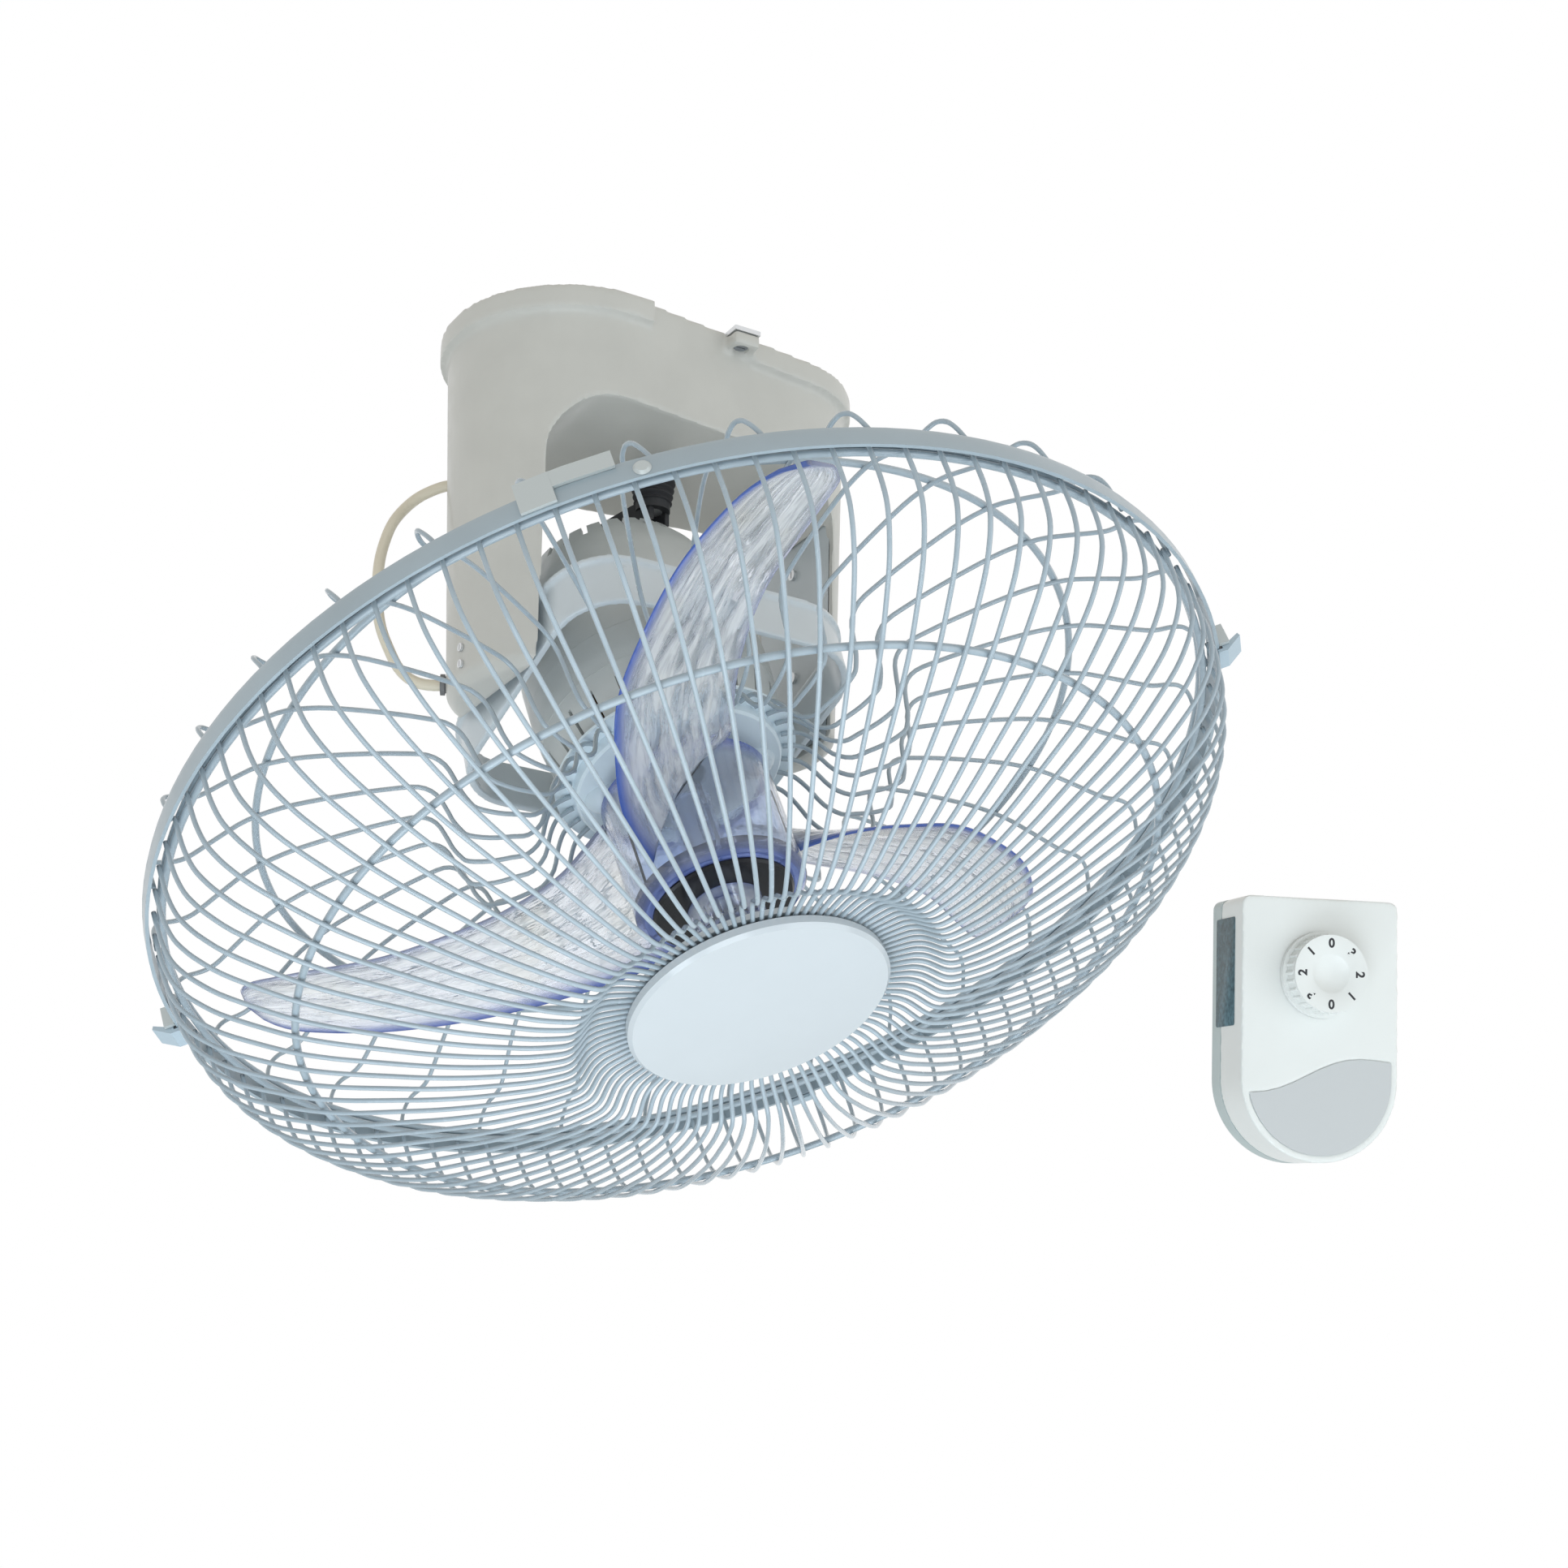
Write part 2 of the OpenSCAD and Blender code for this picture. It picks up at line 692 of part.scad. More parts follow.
module leg_pins() {
    head_r = 7.5;
    color("#9a9da2") in_frame() for (s = [-1, 1]) rotate([0, s * 90, 0]) {
        translate([0, 0, frame_x - frame_t - 2]) cylinder(r = head_r, h = 2);
        translate([0, 0, frame_x - frame_t - 1])
            cylinder(r = leg_pin_r, h = leg_gap - frame_x + frame_t + bush_l);
    }
}

pin_boss_r = 8;
pin_boss_reach = frame_y - frame_t - 2;
pin_inner_end = pin_boss_reach - 10;

module motor_pins() {
    color("#9a9da2") in_frame() for (s = [-1, 1]) rotate([s * 90, 0, 0]) {
        translate([0, 0, frame_y + gap]) cylinder(r = motor_pin_head_r, h = 2);
        translate([0, 0, pin_inner_end])
            cylinder(r = motor_pin_r, h = frame_y + 1 + gap - pin_inner_end);
    }
}

module pin_washers() {
    color("#f4f4f0") in_frame() for (s = [-1, 1]) rotate([s * 90, 0, 0])
        translate([0, 0, pin_boss_reach + seat])
            ring(pin_boss_r, motor_pin_r + fit, frame_y - frame_t - gap - pin_boss_reach - seat);
}

// ---------- motor ----------
rear_shape = [
    [crown_r, -crown_back], [40, -58], [45, -46.5], [48.4, -33], [motor_r - 0.3, -17],
    [motor_r, -0.1]
];
front_shape = [
    [motor_r, 0], [motor_r - 0.4, 11], [47.6, 24], [44.2, 35], [41, motor_front]
];
stator_r = 45.5;
stator_half = 16;
rear_wall_back = -56;
bearing_r = 8;
bearing_l = 8;

module pin_bosses() {
    for (s = [-1, 1]) rotate([s * 90, 0, 0]) translate([0, 0, stator_r + 1])
        cylinder(r = pin_boss_r, h = pin_boss_reach - stator_r - 1);
}

module pin_bore() {
    rotate([90, 0, 0])
        cylinder(r = motor_pin_r + 0.02, h = 2 * pin_boss_reach + 2, center = true);
}

module motor_rear_cover() {
    notch_w = 2.4;
    notch_depth = 8;
    seat_r = 9;
    outer = rear_shape;
    inner = [for (i = [len(outer) - 1 : -1 : 0]) [outer[i][0] - cover_t, outer[i][1]]];
    color("#e9e7de") in_head() difference() {
        union() {
            turned(concat(outer, inner));
            // Rear wall inside the castellated rim, with the bearing seat
            turned([[0, rear_wall_back], [40, rear_wall_back], [40, rear_wall_back + cover_t],
                    [seat_r + 2, rear_wall_back + cover_t], [seat_r + 2, rear_wall_back + 12],
                    [0, rear_wall_back + 12]]);
            // Ledge that holds the stator
            turned([[stator_r + fit, -stator_half], [motor_r - 1, -stator_half],
                    [motor_r - 1, -0.1], [stator_r + fit, -0.1]]);
            intersection() {
                pin_bosses();
                translate([-80, -80, seat]) cube([160, 160, 40]);
            }
        }
        translate([0, 0, -rear_wall_back - 13]) cylinder(r = bearing_r + 0.02, h = 13 - cover_t);
        for (k = [0 : crown_notches - 1])
            rotate(360 * (k + 0.5) / crown_notches)
                translate([crown_r - 8, -notch_w / 2, crown_back - notch_depth])
                    cube([20, notch_w, notch_depth + 1]);
        pin_bore();
    }
}

module motor_front_cover() {
    slot_w = 1.6;
    seat_r = 10;
    outer = front_shape;
    inner = [for (i = [len(outer) - 1 : -1 : 0])
        [outer[i][0] - cover_t, min(outer[i][1], motor_front - cover_t)]];
    color("#e9e7de") in_head() difference() {
        union() {
            turned(concat(outer, [[seat_r + 2, motor_front], [seat_r + 2, motor_front - cover_t]],
                          inner));
            turned([[0, motor_front], [0, motor_front - 11], [seat_r + 2, motor_front - 11],
                    [seat_r + 2, motor_front]]);
            turned([[stator_r + fit, 0], [motor_r - 1, 0], [motor_r - 1, stator_half],
                    [stator_r + fit, stator_half]]);
            intersection() {
                pin_bosses();
                translate([-80, -80, -40]) cube([160, 160, 40]);
            }
        }
        translate([0, 0, -motor_front + cover_t]) cylinder(r = bearing_r + 0.02, h = 20);
        translate([0, 0, -motor_front - 1]) cylinder(r = shaft_r + 0.6, h = 20);
        for (k = [0 : front_slots - 1])
            rotate(360 * (k + 0.5) / front_slots)
                translate([motor_r - 12, -slot_w / 2, -motor_front + 4])
                    cube([20, slot_w, 13]);
        pin_bore();
    }
}

rotor_r = 22;
air_gap = 0.4;

module stator_core() {
    slots = 16;
    color("#70757c") in_head() translate([0, 0, -stator_half + 2]) difference() {
        cylinder(r = stator_r, h = 2 * stator_half - 4);
        translate([0, 0, -1]) cylinder(r = rotor_r + air_gap, h = 2 * stator_half);
        for (k = [0 : slots - 1])
            rotate(360 * k / slots) translate([29, 0, -1])
                cylinder(r = 4, h = 2 * stator_half, $fn = 24);
    }
}

module stator_windings() {
    color("#b5651d") in_head() for (s = [-1, 1])
        translate([0, 0, s * (stator_half + 4.1)]) rotate_extrude()
            translate([32, 0]) scale([1.9, 1]) circle(r = 6, $fn = 32);
}

module rotor_core() {
    color("#8d9096") in_head() difference() {
        translate([0, 0, -stator_half + 2]) cylinder(r = rotor_r, h = 2 * stator_half - 4);
        translate([0, 0, -40]) cylinder(r = shaft_r + 0.02, h = 80);
    }
}

shaft_front = 122;

module motor_shaft() {
    color("#b9bcc0") in_head() translate([0, 0, -shaft_front])
        cylinder(r = shaft_r, h = shaft_front - rear_wall_back - 4);
}

module bearing(back) {
    color("#b08d57") in_head() translate([0, 0, -back - bearing_l])
        ring(bearing_r, shaft_r + fit, bearing_l);
}

module rear_bearing() {
    bearing(rear_wall_back + cover_t + 0.6);
}

module front_bearing() {
    bearing(motor_front - cover_t - bearing_l - 0.2);
}

module tail_stud() {
    base_r = 13;
    color("#9a9da2") in_head() intersection() {
        translate([0, 0, -rear_wall_back]) {
            cylinder(r = base_r, h = 3);
            cylinder(r = 4, h = 40);
        }
        sphere(r = stud_reach, $fn = 96);
    }
}

// ---------- collar between motor and rear guard ----------
collar_r = 42.6;
collar_back = motor_front;
collar_front = 45.5;
knob_place = [31, 149.7];
knob_r = 8.4;

module guard_collar() {
    color("#cfe3ee") in_head() difference() {
        turned([[shaft_r + 6, collar_back + seat], [50, collar_back + seat], [50, collar_back + 1.3],
                [collar_r, collar_back + 1.5], [collar_r, collar_front - 1],
                [collar_r - 1, collar_front], [shaft_r + 6, collar_front]]);
        for (s = [0, 180])
            rotate(knob_place[1] + s) translate([knob_place[0], 0, -collar_front - 1])
                cylinder(r = 2.6, h = 12, $fn = 32);
    }
}

module collar_knobs() {
    dome_h = 6;
    dome_ball = (dome_h * dome_h + knob_r * knob_r) / (2 * dome_h);
    color("#e3edf2") in_head() for (s = [0, 180])
        rotate(knob_place[1] + s) translate([knob_place[0], 0, -collar_front]) difference() {
            union() {
                intersection() {
                    translate([0, 0, -dome_h]) cylinder(r = knob_r, h = dome_h);
                    translate([0, 0, -dome_h + dome_ball]) sphere(r = dome_ball);
                }
                cylinder(r = 2.4, h = collar_front - collar_back - 0.4, $fn = 32);
            }
            translate([-0.9, -knob_r * 0.6, -dome_h - 1]) cube([1.8, knob_r * 1.2, 3]);
        }
}

// ---------- cage ----------
module meridian_wires(profile, count, first) {
    path = [for (p = profile) [p[0], 0, -p[1]]];
    for (k = [0 : count - 1])
        rotate(first + 360 * k / count) tube(path, [wire_r * sqrt(PI / 2)], 4, [0, 1, 0], 45);
}

ring_r = 1.5;
rear_first_wire = 192.2;
rim_ring_r = rim_wire_r - wire_r - ring_r - ring_seat;
rim_ring_inset = 2.95;
support_ring_front = stretched([170.8, 128.8]);
support_ring_rear = stretched([168, 36]);

module rear_guard_wires() {
    color("#b9c6cb") in_head() meridian_wires(rear_profile, rear_wires, rear_first_wire);
}

module rear_guard_rings() {
    color("#b9c6cb") in_head() {
        wire_ring(rim_ring_r, band_back + rim_ring_inset, ring_r);
        wire_ring(support_ring_rear[0], support_ring_rear[1], ring_r);
    }
}

module rim_band() {
    slope = band_slope;
    front = band_back + band_w;
    color("#aebdc4") in_head() turned([
        [band_r - slope[0], band_back], [band_r, band_back + slope[1]], [band_r, front],
        [band_r - band_t, front], [band_r - band_t, band_back + slope[1]],
        [band_r - slope[0] - band_t, band_back]
    ]);
}

module band_sector(angle, width_deg, points) {
    rotate(angle - width_deg / 2) rotate_extrude(angle = width_deg)
        polygon([for (p = points) [p[0], -p[1]]]);
}

hinge_plate_at = 228.7;
latch_at = [138.7, 318.7, 48.7];

// Plate of the rim hinge: a tall end, a low strip behind it, and a rivet beside it
module rim_hinge_plate() {
    back = band_back - 4.6;
    front = band_back + band_w - 0.6;
    strip = band_back + 2.4;
    out = band_r + seat;
    thick = 1.4;
    turn = 9.2;
    tall_turn = 3.4;
    rivet_turn = 2.2;
    color("#9fa8a9") in_head() {
        band_sector(hinge_plate_at, turn,
            [[out, back], [out + thick, back], [out + thick, strip], [out, strip]]);
        band_sector(hinge_plate_at - (turn - tall_turn) / 2, tall_turn,
            [[out, back], [out + thick, back], [out + thick, front], [out, front]]);
        rotate(hinge_plate_at + turn / 2 + rivet_turn) translate([out, 0, -(strip + front) / 2])
            rotate([0, 90, 0]) cylinder(r1 = 3.2, r2 = 2.2, h = 1, $fn = 32);
    }
}

latch_pin = [band_r + 2.6, band_back + 1.6];
latch_pin_r = 0.9;
latch_w = 11;

// Knuckles and foot of each latch, riveted to the band
module latch_bases() {
    cheek_t = 1.6;
    cheek_gap = 0.4;
    cheek_front = band_back + band_w - 0.4;
    color("#9fa8a9") in_head() for (a = latch_at)
        rotate(a) {
            for (s = [-1, 1])
                translate([band_r + seat,
                           s * (latch_w + cheek_t + 2 * cheek_gap) / 2 - cheek_t / 2,
                           -cheek_front])
                    cube([latch_pin[0] - band_r + cheek_t, cheek_t,
                          cheek_front - latch_pin[1] + 2 * latch_pin_r]);
            translate([latch_pin[0], 0, -latch_pin[1]]) rotate([90, 0, 0])
                cylinder(r = latch_pin_r, h = latch_w + 2 * (cheek_gap + cheek_t), center = true,
                         $fn = 24);
        }
}

// Lever that turns on the base, hooks over the front of the band and ends in a thumb tab
module latch(a) {
    t = 1.5;
    knuckle_r = 2.2;
    inner = band_r + 1.2;
    outer = inner + t;
    hook = band_back + band_w + 0.6;
    hook_end = band_r - 1;
    tab = [band_r + 9.5, band_back + 5.2];
    color("#8fa3ad") in_head() rotate(a) difference() {
        union() {
            translate([latch_pin[0], 0, -latch_pin[1]]) rotate([90, 0, 0])
                cylinder(r = knuckle_r, h = latch_w, center = true, $fn = 32);
            rotate([90, 0, 0]) linear_extrude(height = latch_w, center = true) polygon([
                [inner, -latch_pin[1]], [inner, -hook], [hook_end, -hook],
                [hook_end, -hook - t], [outer, -hook - t], [tab[0], -tab[1] - t],
                [tab[0] - 0.6, -tab[1]], [outer, -hook + t], [outer, -latch_pin[1]]
            ]);
        }
        translate([latch_pin[0], 0, -latch_pin[1]]) rotate([90, 0, 0])
            cylinder(r = latch_pin_r + fit, h = latch_w + 2, center = true, $fn = 24);
    }
}

module latch_left() {
    latch(latch_at[0]);
}

module latch_right() {
    latch(latch_at[1]);
}

module latch_back() {
    latch(latch_at[2]);
}

module front_guard_wires() {
    color("#b9c6cb") in_head() meridian_wires(front_profile, front_wires, 2);
}

module front_guard_rings() {
    color("#b9c6cb") in_head() {
        wire_ring(rim_ring_r, band_back + band_w - rim_ring_inset, ring_r);
        wire_ring(support_ring_front[0], support_ring_front[1], ring_r);
    }
}

badge_front = badge_back + 4.6;
retainer_front = wire_end - wire_r - 0.55;
retainer_span = [retainer_front - 2.5, retainer_front];
retainer_r = [26, 34, 50];
badge_screw_at = 30;

module badge() {
    rise = 1.8;
    edge = 1.5;
    dome_r = badge_r - edge;
    dome = [for (k = [8 : -1 : 0]) [dome_r * k / 8, badge_front + rise * (1 - pow(k / 8, 2))]];
    color("#f3f5f6") in_head() difference() {
        turned(concat([[0, badge_back], [badge_r, badge_back], [badge_r, badge_front - edge]], dome));
        for (a = [0 : 120 : 240])
            rotate(a) translate([badge_screw_at, 0, -badge_front + 1.4])
                cylinder(r = 1.2, h = 20, $fn = 24);
    }
}

// Ring that clamps the inner ends of the wires to the back of the badge
module badge_retainer() {
    color("#d5dadc") in_head() difference() {
        turned([
            [retainer_r[0], retainer_span[0]], [retainer_r[2], retainer_span[0]],
            [retainer_r[2], retainer_span[1]], [retainer_r[1], retainer_span[1]],
            [retainer_r[1], badge_back - seat], [retainer_r[0], badge_back - seat]
        ]);
        for (a = [0 : 120 : 240])
            rotate(a) translate([badge_screw_at, 0, -200]) cylinder(r = 1.5, h = 100, $fn = 24);
    }
}

module badge_screws() {
    color("silver") in_head() for (a = [0 : 120 : 240])
        rotate(a) translate([badge_screw_at, 0, -retainer_span[0]]) screw(1.1, 8, 2.6);
}

// ---------- blades ----------
hub_back = 53;
blade_at = 256;
blade_radius = [hub_r + 0.25, 57, 83, 109, 136, 165, blade_tip_r];
lead_angle = [7.7, -0.3, -4.6, -5, -3.6, -0.2, 2.4];
lead_forward = [56, 67, 69, 68, 67, 65.5, 64.5];
trail_angle = [-63, -52, -41, -33, -24.5, -16.5, -7.5];
trail_forward = [99, 94, 88, 82, 77.5, 72, 66.5];
blade_camber = 5;

// Middle of the blade at span t (0 to 6) and chord v (0 lead, 1 trail)
function blade_point(t, v, side) =
    let (a = spline(lead_angle, t) * (1 - v) + spline(trail_angle, t) * v,
         bow = blade_camber * sin(180 * v) * (1 - t / 9),
         f = spline(lead_forward, t) * (1 - v) + spline(trail_forward, t) * v - bow,
         r = spline(blade_radius, t),
         half = blade_t * (0.75 - 0.2 * t / 6) * (0.35 + 0.65 * sin(180 * (0.06 + 0.88 * v))))
    [r * cos(a), r * sin(a), -f - side * half];

module one_blade() {
    spans = 12;
    chords = 7;
    n = chords + 1;
    points = [for (side = [-1, 1], i = [0 : spans], j = [0 : chords])
        blade_point(6 * i / spans, j / chords, side)];
    layer = (spans + 1) * n;
    function quad(a, b, c, d) = [[a, b, c], [a, c, d]];
    faces = [
        for (i = [0 : spans - 1], j = [0 : chords - 1])
            let (a = i * n + j)
            each concat(quad(a, a + 1, a + n + 1, a + n),
                        quad(layer + a + n, layer + a + n + 1, layer + a + 1, layer + a)),
        for (i = [0 : spans - 1])
            each concat(quad(i * n, i * n + n, layer + i * n + n, layer + i * n),
                        quad(layer + i * n + chords, layer + i * n + n + chords,
                             i * n + n + chords, i * n + chords)),
        for (j = [0 : chords - 1])
            each concat(quad(layer + j, layer + j + 1, j + 1, j),
                        quad(spans * n + j, spans * n + j + 1, layer + spans * n + j + 1,
                             layer + spans * n + j))
    ];
    polyhedron(points = points, faces = faces);
}

module blades() {
    color("#8fb4ff", 0.6) in_head() for (k = [0 : blade_count - 1])
        rotate(blade_at + 360 * k / blade_count) one_blade();
}

module blade_hub() {
    sleeve_r = 9;
    color("#a9c4ff", 0.6) in_head() difference() {
        union() {
            turned([[hub_r, hub_back], [hub_r, hub_front - 3], [hub_r - 3, hub_front],
                    [28.6, hub_front], [28.6, hub_front - 4], [hub_r - hub_t, hub_front - 5],
                    [hub_r - hub_t, hub_back]]);
            turned([[0, hub_front - 7], [hub_r - 1, hub_front - 7], [hub_r - 1, hub_front - 4.2],
                    [0, hub_front - 4.2]]);
            turned([[0, hub_back + 6], [sleeve_r, hub_back + 6], [sleeve_r, hub_front - 6],
                    [0, hub_front - 6]]);
            for (a = [0 : 60 : 300])
                rotate(a) translate([sleeve_r - 1, -0.8, -hub_front + 5])
                    cube([hub_r - hub_t - sleeve_r + 2, 1.6, 30]);
        }
        translate([0, 0, -hub_front - 1]) cylinder(r = shaft_r + 0.02, h = 60);
    }
}

module spinner_disc() {
    color("#17181b") in_head() difference() {
        turned([[0, hub_front - 4.1], [28.4, hub_front - 4.1], [28.4, hub_front + 0.6],
                [27.4, hub_front + 1.4], [0, hub_front + 1.4]]);
        translate([0, 0, -hub_front - 5]) cylinder(r = shaft_r + 0.1, h = 20);
    }
}

module spinner_nut() {
    nut_r = 15;
    nose = 126;
    ribs = 18;
    color("#a9c4ff", 0.7) in_head() difference() {
        union() {
            turned([[0, hub_front + 1.5], [nut_r, hub_front + 1.5], [nut_r - 1.5, nose - 4],
                    [nut_r - 4.5, nose - 0.8], [3, nose], [0, nose]]);
            for (k = [0 : ribs - 1])
                rotate(360 * k / ribs) translate([nut_r - 1.6, 0, -nose + 5])
                    cylinder(r = 1.3, h = nose - hub_front - 6.5, $fn = 16);
        }
        translate([0, 0, -shaft_front - 0.5]) cylinder(r = shaft_r + 0.02, h = 30);
        translate([0, 0, -nose - 1]) cylinder(r = 1.6, h = 10, $fn = 24);
    }
}

// ---------- regulator ----------
reg_centre = [324, -19, -246];
reg_heading = -31.7;
reg_lean = 14;
reg_side_turn = 12.5;
reg_roll = 2;

// The face looks along local -Y, up is local +Z
module at_regulator() {
    translate(reg_centre) rotate([0, 0, reg_heading]) rotate([reg_lean, 0, 0])
        rotate([0, reg_roll, reg_side_turn]) children();
}

module reg_outline(inset) {
    corner = 4 - inset;
    half = reg_w / 2;
    bottom_r = half - inset;
    top = reg_h / 2;
    translate([0, -top + half]) circle(r = bottom_r, $fn = 96);
    translate([-half + inset, -top + half]) square([2 * bottom_r, reg_h - half - inset - corner]);
    translate([-half + inset + corner, 0]) square([2 * (bottom_r - corner), top - inset]);
    for (s = [-1, 1])
        translate([s * (half - inset - corner), top - inset - corner]) circle(r = corner, $fn = 32);
}

// Slab of the outline between two depths; depth 0 is the wall
module reg_slab(from, to, inset) {
    rotate([90, 0, 0]) translate([0, 0, from - reg_d / 2]) linear_extrude(height = to - from)
        reg_outline(inset);
}

back_depth = 10;
dial_z = 24;
boss_r = 4.2;
reg_screw_sink = 2;
reg_screw_places = [[-28, 44], [28, 44], [0, -46]];

module reg_back() {
    color("#c9d3d4") at_regulator() difference() {
        union() {
            difference() {
                reg_slab(0, back_depth, 0);
                reg_slab(reg_t, back_depth + 1, reg_t);
            }
            for (p = reg_screw_places)
                translate([p[0], reg_d / 2, p[1]]) rotate([90, 0, 0])
                    cylinder(r = boss_r, h = back_depth - 0.5);
        }
        for (s = [-1, 1])
            translate([s * 27, reg_d / 2 + 1, -8]) rotate([90, 0, 0])
                cylinder(r = 2.2, h = 10, $fn = 32);
        for (p = reg_screw_places)
            translate([p[0], reg_d / 2 + 1, p[1]]) rotate([90, 0, 0]) {
                cylinder(r = 1.6, h = 20, $fn = 24);
                cylinder(r = 3.1, h = reg_screw_sink + 1, $fn = 32);
            }
        translate([0, reg_d / 2 + 1, 4]) rotate([90, 0, 0]) cylinder(r = 7, h = 10, $fn = 32);
    }
}

module reg_cover() {
    panel_depth = 1.2;
    color("#f1f3f1") at_regulator() difference() {
        union() {
            difference() {
                reg_slab(back_depth + seat, reg_d, 0);
                reg_slab(back_depth - 1, reg_d - reg_t - 0.6, reg_t);
            }
            for (p = reg_screw_places)
                translate([p[0], reg_d / 2 - back_depth + 0.4, p[1]]) rotate([90, 0, 0])
                    cylinder(r = boss_r, h = reg_d - back_depth - reg_t);
        }
        translate([0, -reg_d / 2 - 1, dial_z]) rotate([-90, 0, 0]) cylinder(r = 5, h = 10);
        intersection() {
            reg_slab(reg_d - panel_depth, reg_d + 1, 3);
            panel_shape(0);
        }
        for (p = reg_screw_places)
            translate([p[0], reg_d / 2 - back_depth + 1, p[1]]) rotate([90, 0, 0])
                cylinder(r = 1.3, h = 18, $fn = 24);
    }
}

// Wavy upper edge of the grey panel, as a prism along the depth
module panel_shape(inset) {
    wave = [for (i = [0 : 12])
        let (x = -reg_w / 2 - 1 + (reg_w + 2) * i / 12)
        [x, -19 - inset + 0.2 * x + 3.6 * sin(360 * (x + reg_w / 2) / reg_w - 150)]];
    rotate([90, 0, 0]) linear_extrude(height = 2 * reg_d, center = true)
        polygon(concat(wave, [[reg_w / 2 + 1, -reg_h], [-reg_w / 2 - 1, -reg_h]]));
}

module reg_panel() {
    color("#b4b8ba") at_regulator() intersection() {
        reg_slab(reg_d - 1.2 + 0.02, reg_d + 0.2, 3 + seat);
        panel_shape(seat);
    }
}

module reg_dial() {
    base_h = 3;
    flutes = 28;
    spindle_r = 3;
    dish_r = 10;
    color("#f4f5f3") at_regulator() translate([0, -reg_d / 2, dial_z]) rotate([90, 0, 0]) {
        difference() {
            union() {
                translate([0, 0, gap]) cylinder(r = dial_r + 2, h = base_h);
                translate([0, 0, gap]) cylinder(r = dial_r, h = dial_h);
                for (k = [0 : flutes - 1])
                    rotate(360 * k / flutes) translate([dial_r - 0.3, 0, gap])
                        cylinder(r = 0.9, h = dial_h - 1.5, $fn = 16);
            }
            translate([0, 0, dial_h + gap + 14]) sphere(r = sqrt(14 * 14 + dish_r * dish_r) - 0.6);
        }
        translate([0, 0, -16]) cylinder(r = spindle_r, h = 18);
    }
}

module reg_switch() {
    size = [30, 12, 30];
    color("#d8d2c0") at_regulator() translate([0, -reg_d / 2, dial_z]) difference() {
        translate([-size[0] / 2, reg_t + 0.6 + seat, -size[2] / 2]) cube(size);
        rotate([-90, 0, 0]) translate([0, 0, -1]) cylinder(r = 3 + fit, h = 30);
    }
}

module reg_choke() {
    size = [40, 20, 27];
    color("#8a5a2b") at_regulator() translate([-size[0] / 2, reg_d / 2 - reg_t - size[1], -40])
        cube(size);
}

module reg_screws() {
    color("silver") at_regulator() for (p = reg_screw_places)
        translate([p[0], reg_d / 2 - reg_screw_sink, p[1]]) rotate([-90, 0, 0])
            screw(1.2, 22, 2.8);
}

housing();
ceiling_plate();
ear_screws();
leg_plate_left();
leg_plate_right();
leg_plate_screws();
leg_bushes();
terminal_block();
capacitor();
gearbox_plate();
gearbox_screws();
orbit_motor();
pinion();
crank_bush();
crank_gear();
crank_shaft();
crank_fork();
crank_boot();
supply_cable();
cable_grommet();
cord_clamp();
frame();
leg_pins();
motor_pins();
pin_washers();
motor_rear_cover();
motor_front_cover();
stator_core();
stator_windings();
rotor_core();
motor_shaft();
rear_bearing();
front_bearing();
tail_stud();
guard_collar();
collar_knobs();
rear_guard_wires();
rear_guard_rings();
rim_band();
rim_hinge_plate();
latch_bases();
latch_left();
latch_right();
latch_back();
front_guard_wires();
front_guard_rings();
badge();
badge_retainer();
badge_screws();
blade_hub();
blades();
spinner_disc();
spinner_nut();
reg_back();
reg_cover();
reg_panel();
reg_dial();
reg_switch();
reg_choke();
reg_screws();
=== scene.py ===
"""Dresses a packed ceiling orbit fan and its wall regulator, and lights them for one photograph.

All sizes are in metres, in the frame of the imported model: origin on the ceiling face, on the
orbit axis, +Z up. Sizes of the motor head are given as (radius, forward) pairs about the head's
own axis, where forward runs from the swing pivot towards the badge.
"""

import logging
import math
from dataclasses import dataclass, field
from enum import Enum

import bmesh
import bpy
from mathutils import Matrix, Vector


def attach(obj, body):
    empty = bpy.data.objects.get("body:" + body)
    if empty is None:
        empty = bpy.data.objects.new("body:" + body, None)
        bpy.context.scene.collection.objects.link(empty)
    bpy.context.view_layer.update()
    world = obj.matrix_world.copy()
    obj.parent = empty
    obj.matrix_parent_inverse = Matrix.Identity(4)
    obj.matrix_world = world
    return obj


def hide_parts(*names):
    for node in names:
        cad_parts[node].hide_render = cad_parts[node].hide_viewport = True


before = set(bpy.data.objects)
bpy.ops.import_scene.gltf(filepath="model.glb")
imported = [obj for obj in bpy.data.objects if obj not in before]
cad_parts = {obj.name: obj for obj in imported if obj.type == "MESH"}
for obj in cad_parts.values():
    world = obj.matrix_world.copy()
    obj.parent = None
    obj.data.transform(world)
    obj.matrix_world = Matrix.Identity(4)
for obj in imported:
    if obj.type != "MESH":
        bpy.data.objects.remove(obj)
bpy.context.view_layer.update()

MM = 0.001
NOISE_SPAN = (0.3, 0.7)
PLASTIC_IOR = 1.45
LOG = logging.getLogger("orbit_fan")

Point = tuple[float, float, float]
Pair = tuple[float, float]
Colour = tuple[float, float, float]


class Body(Enum):
    """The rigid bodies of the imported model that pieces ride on."""

    MOUNT = "mount_unit"
    HEAD = "head"
    ROTOR = "rotor"
    GIMBAL = "gimbal"
    LEVER_LEFT = "latch_lever_left"
    LEVER_RIGHT = "latch_lever_right"
    LEVER_BACK = "latch_lever_back"
    DIAL = "regulator_dial"


# ---------------------------------------------------------------- finishes


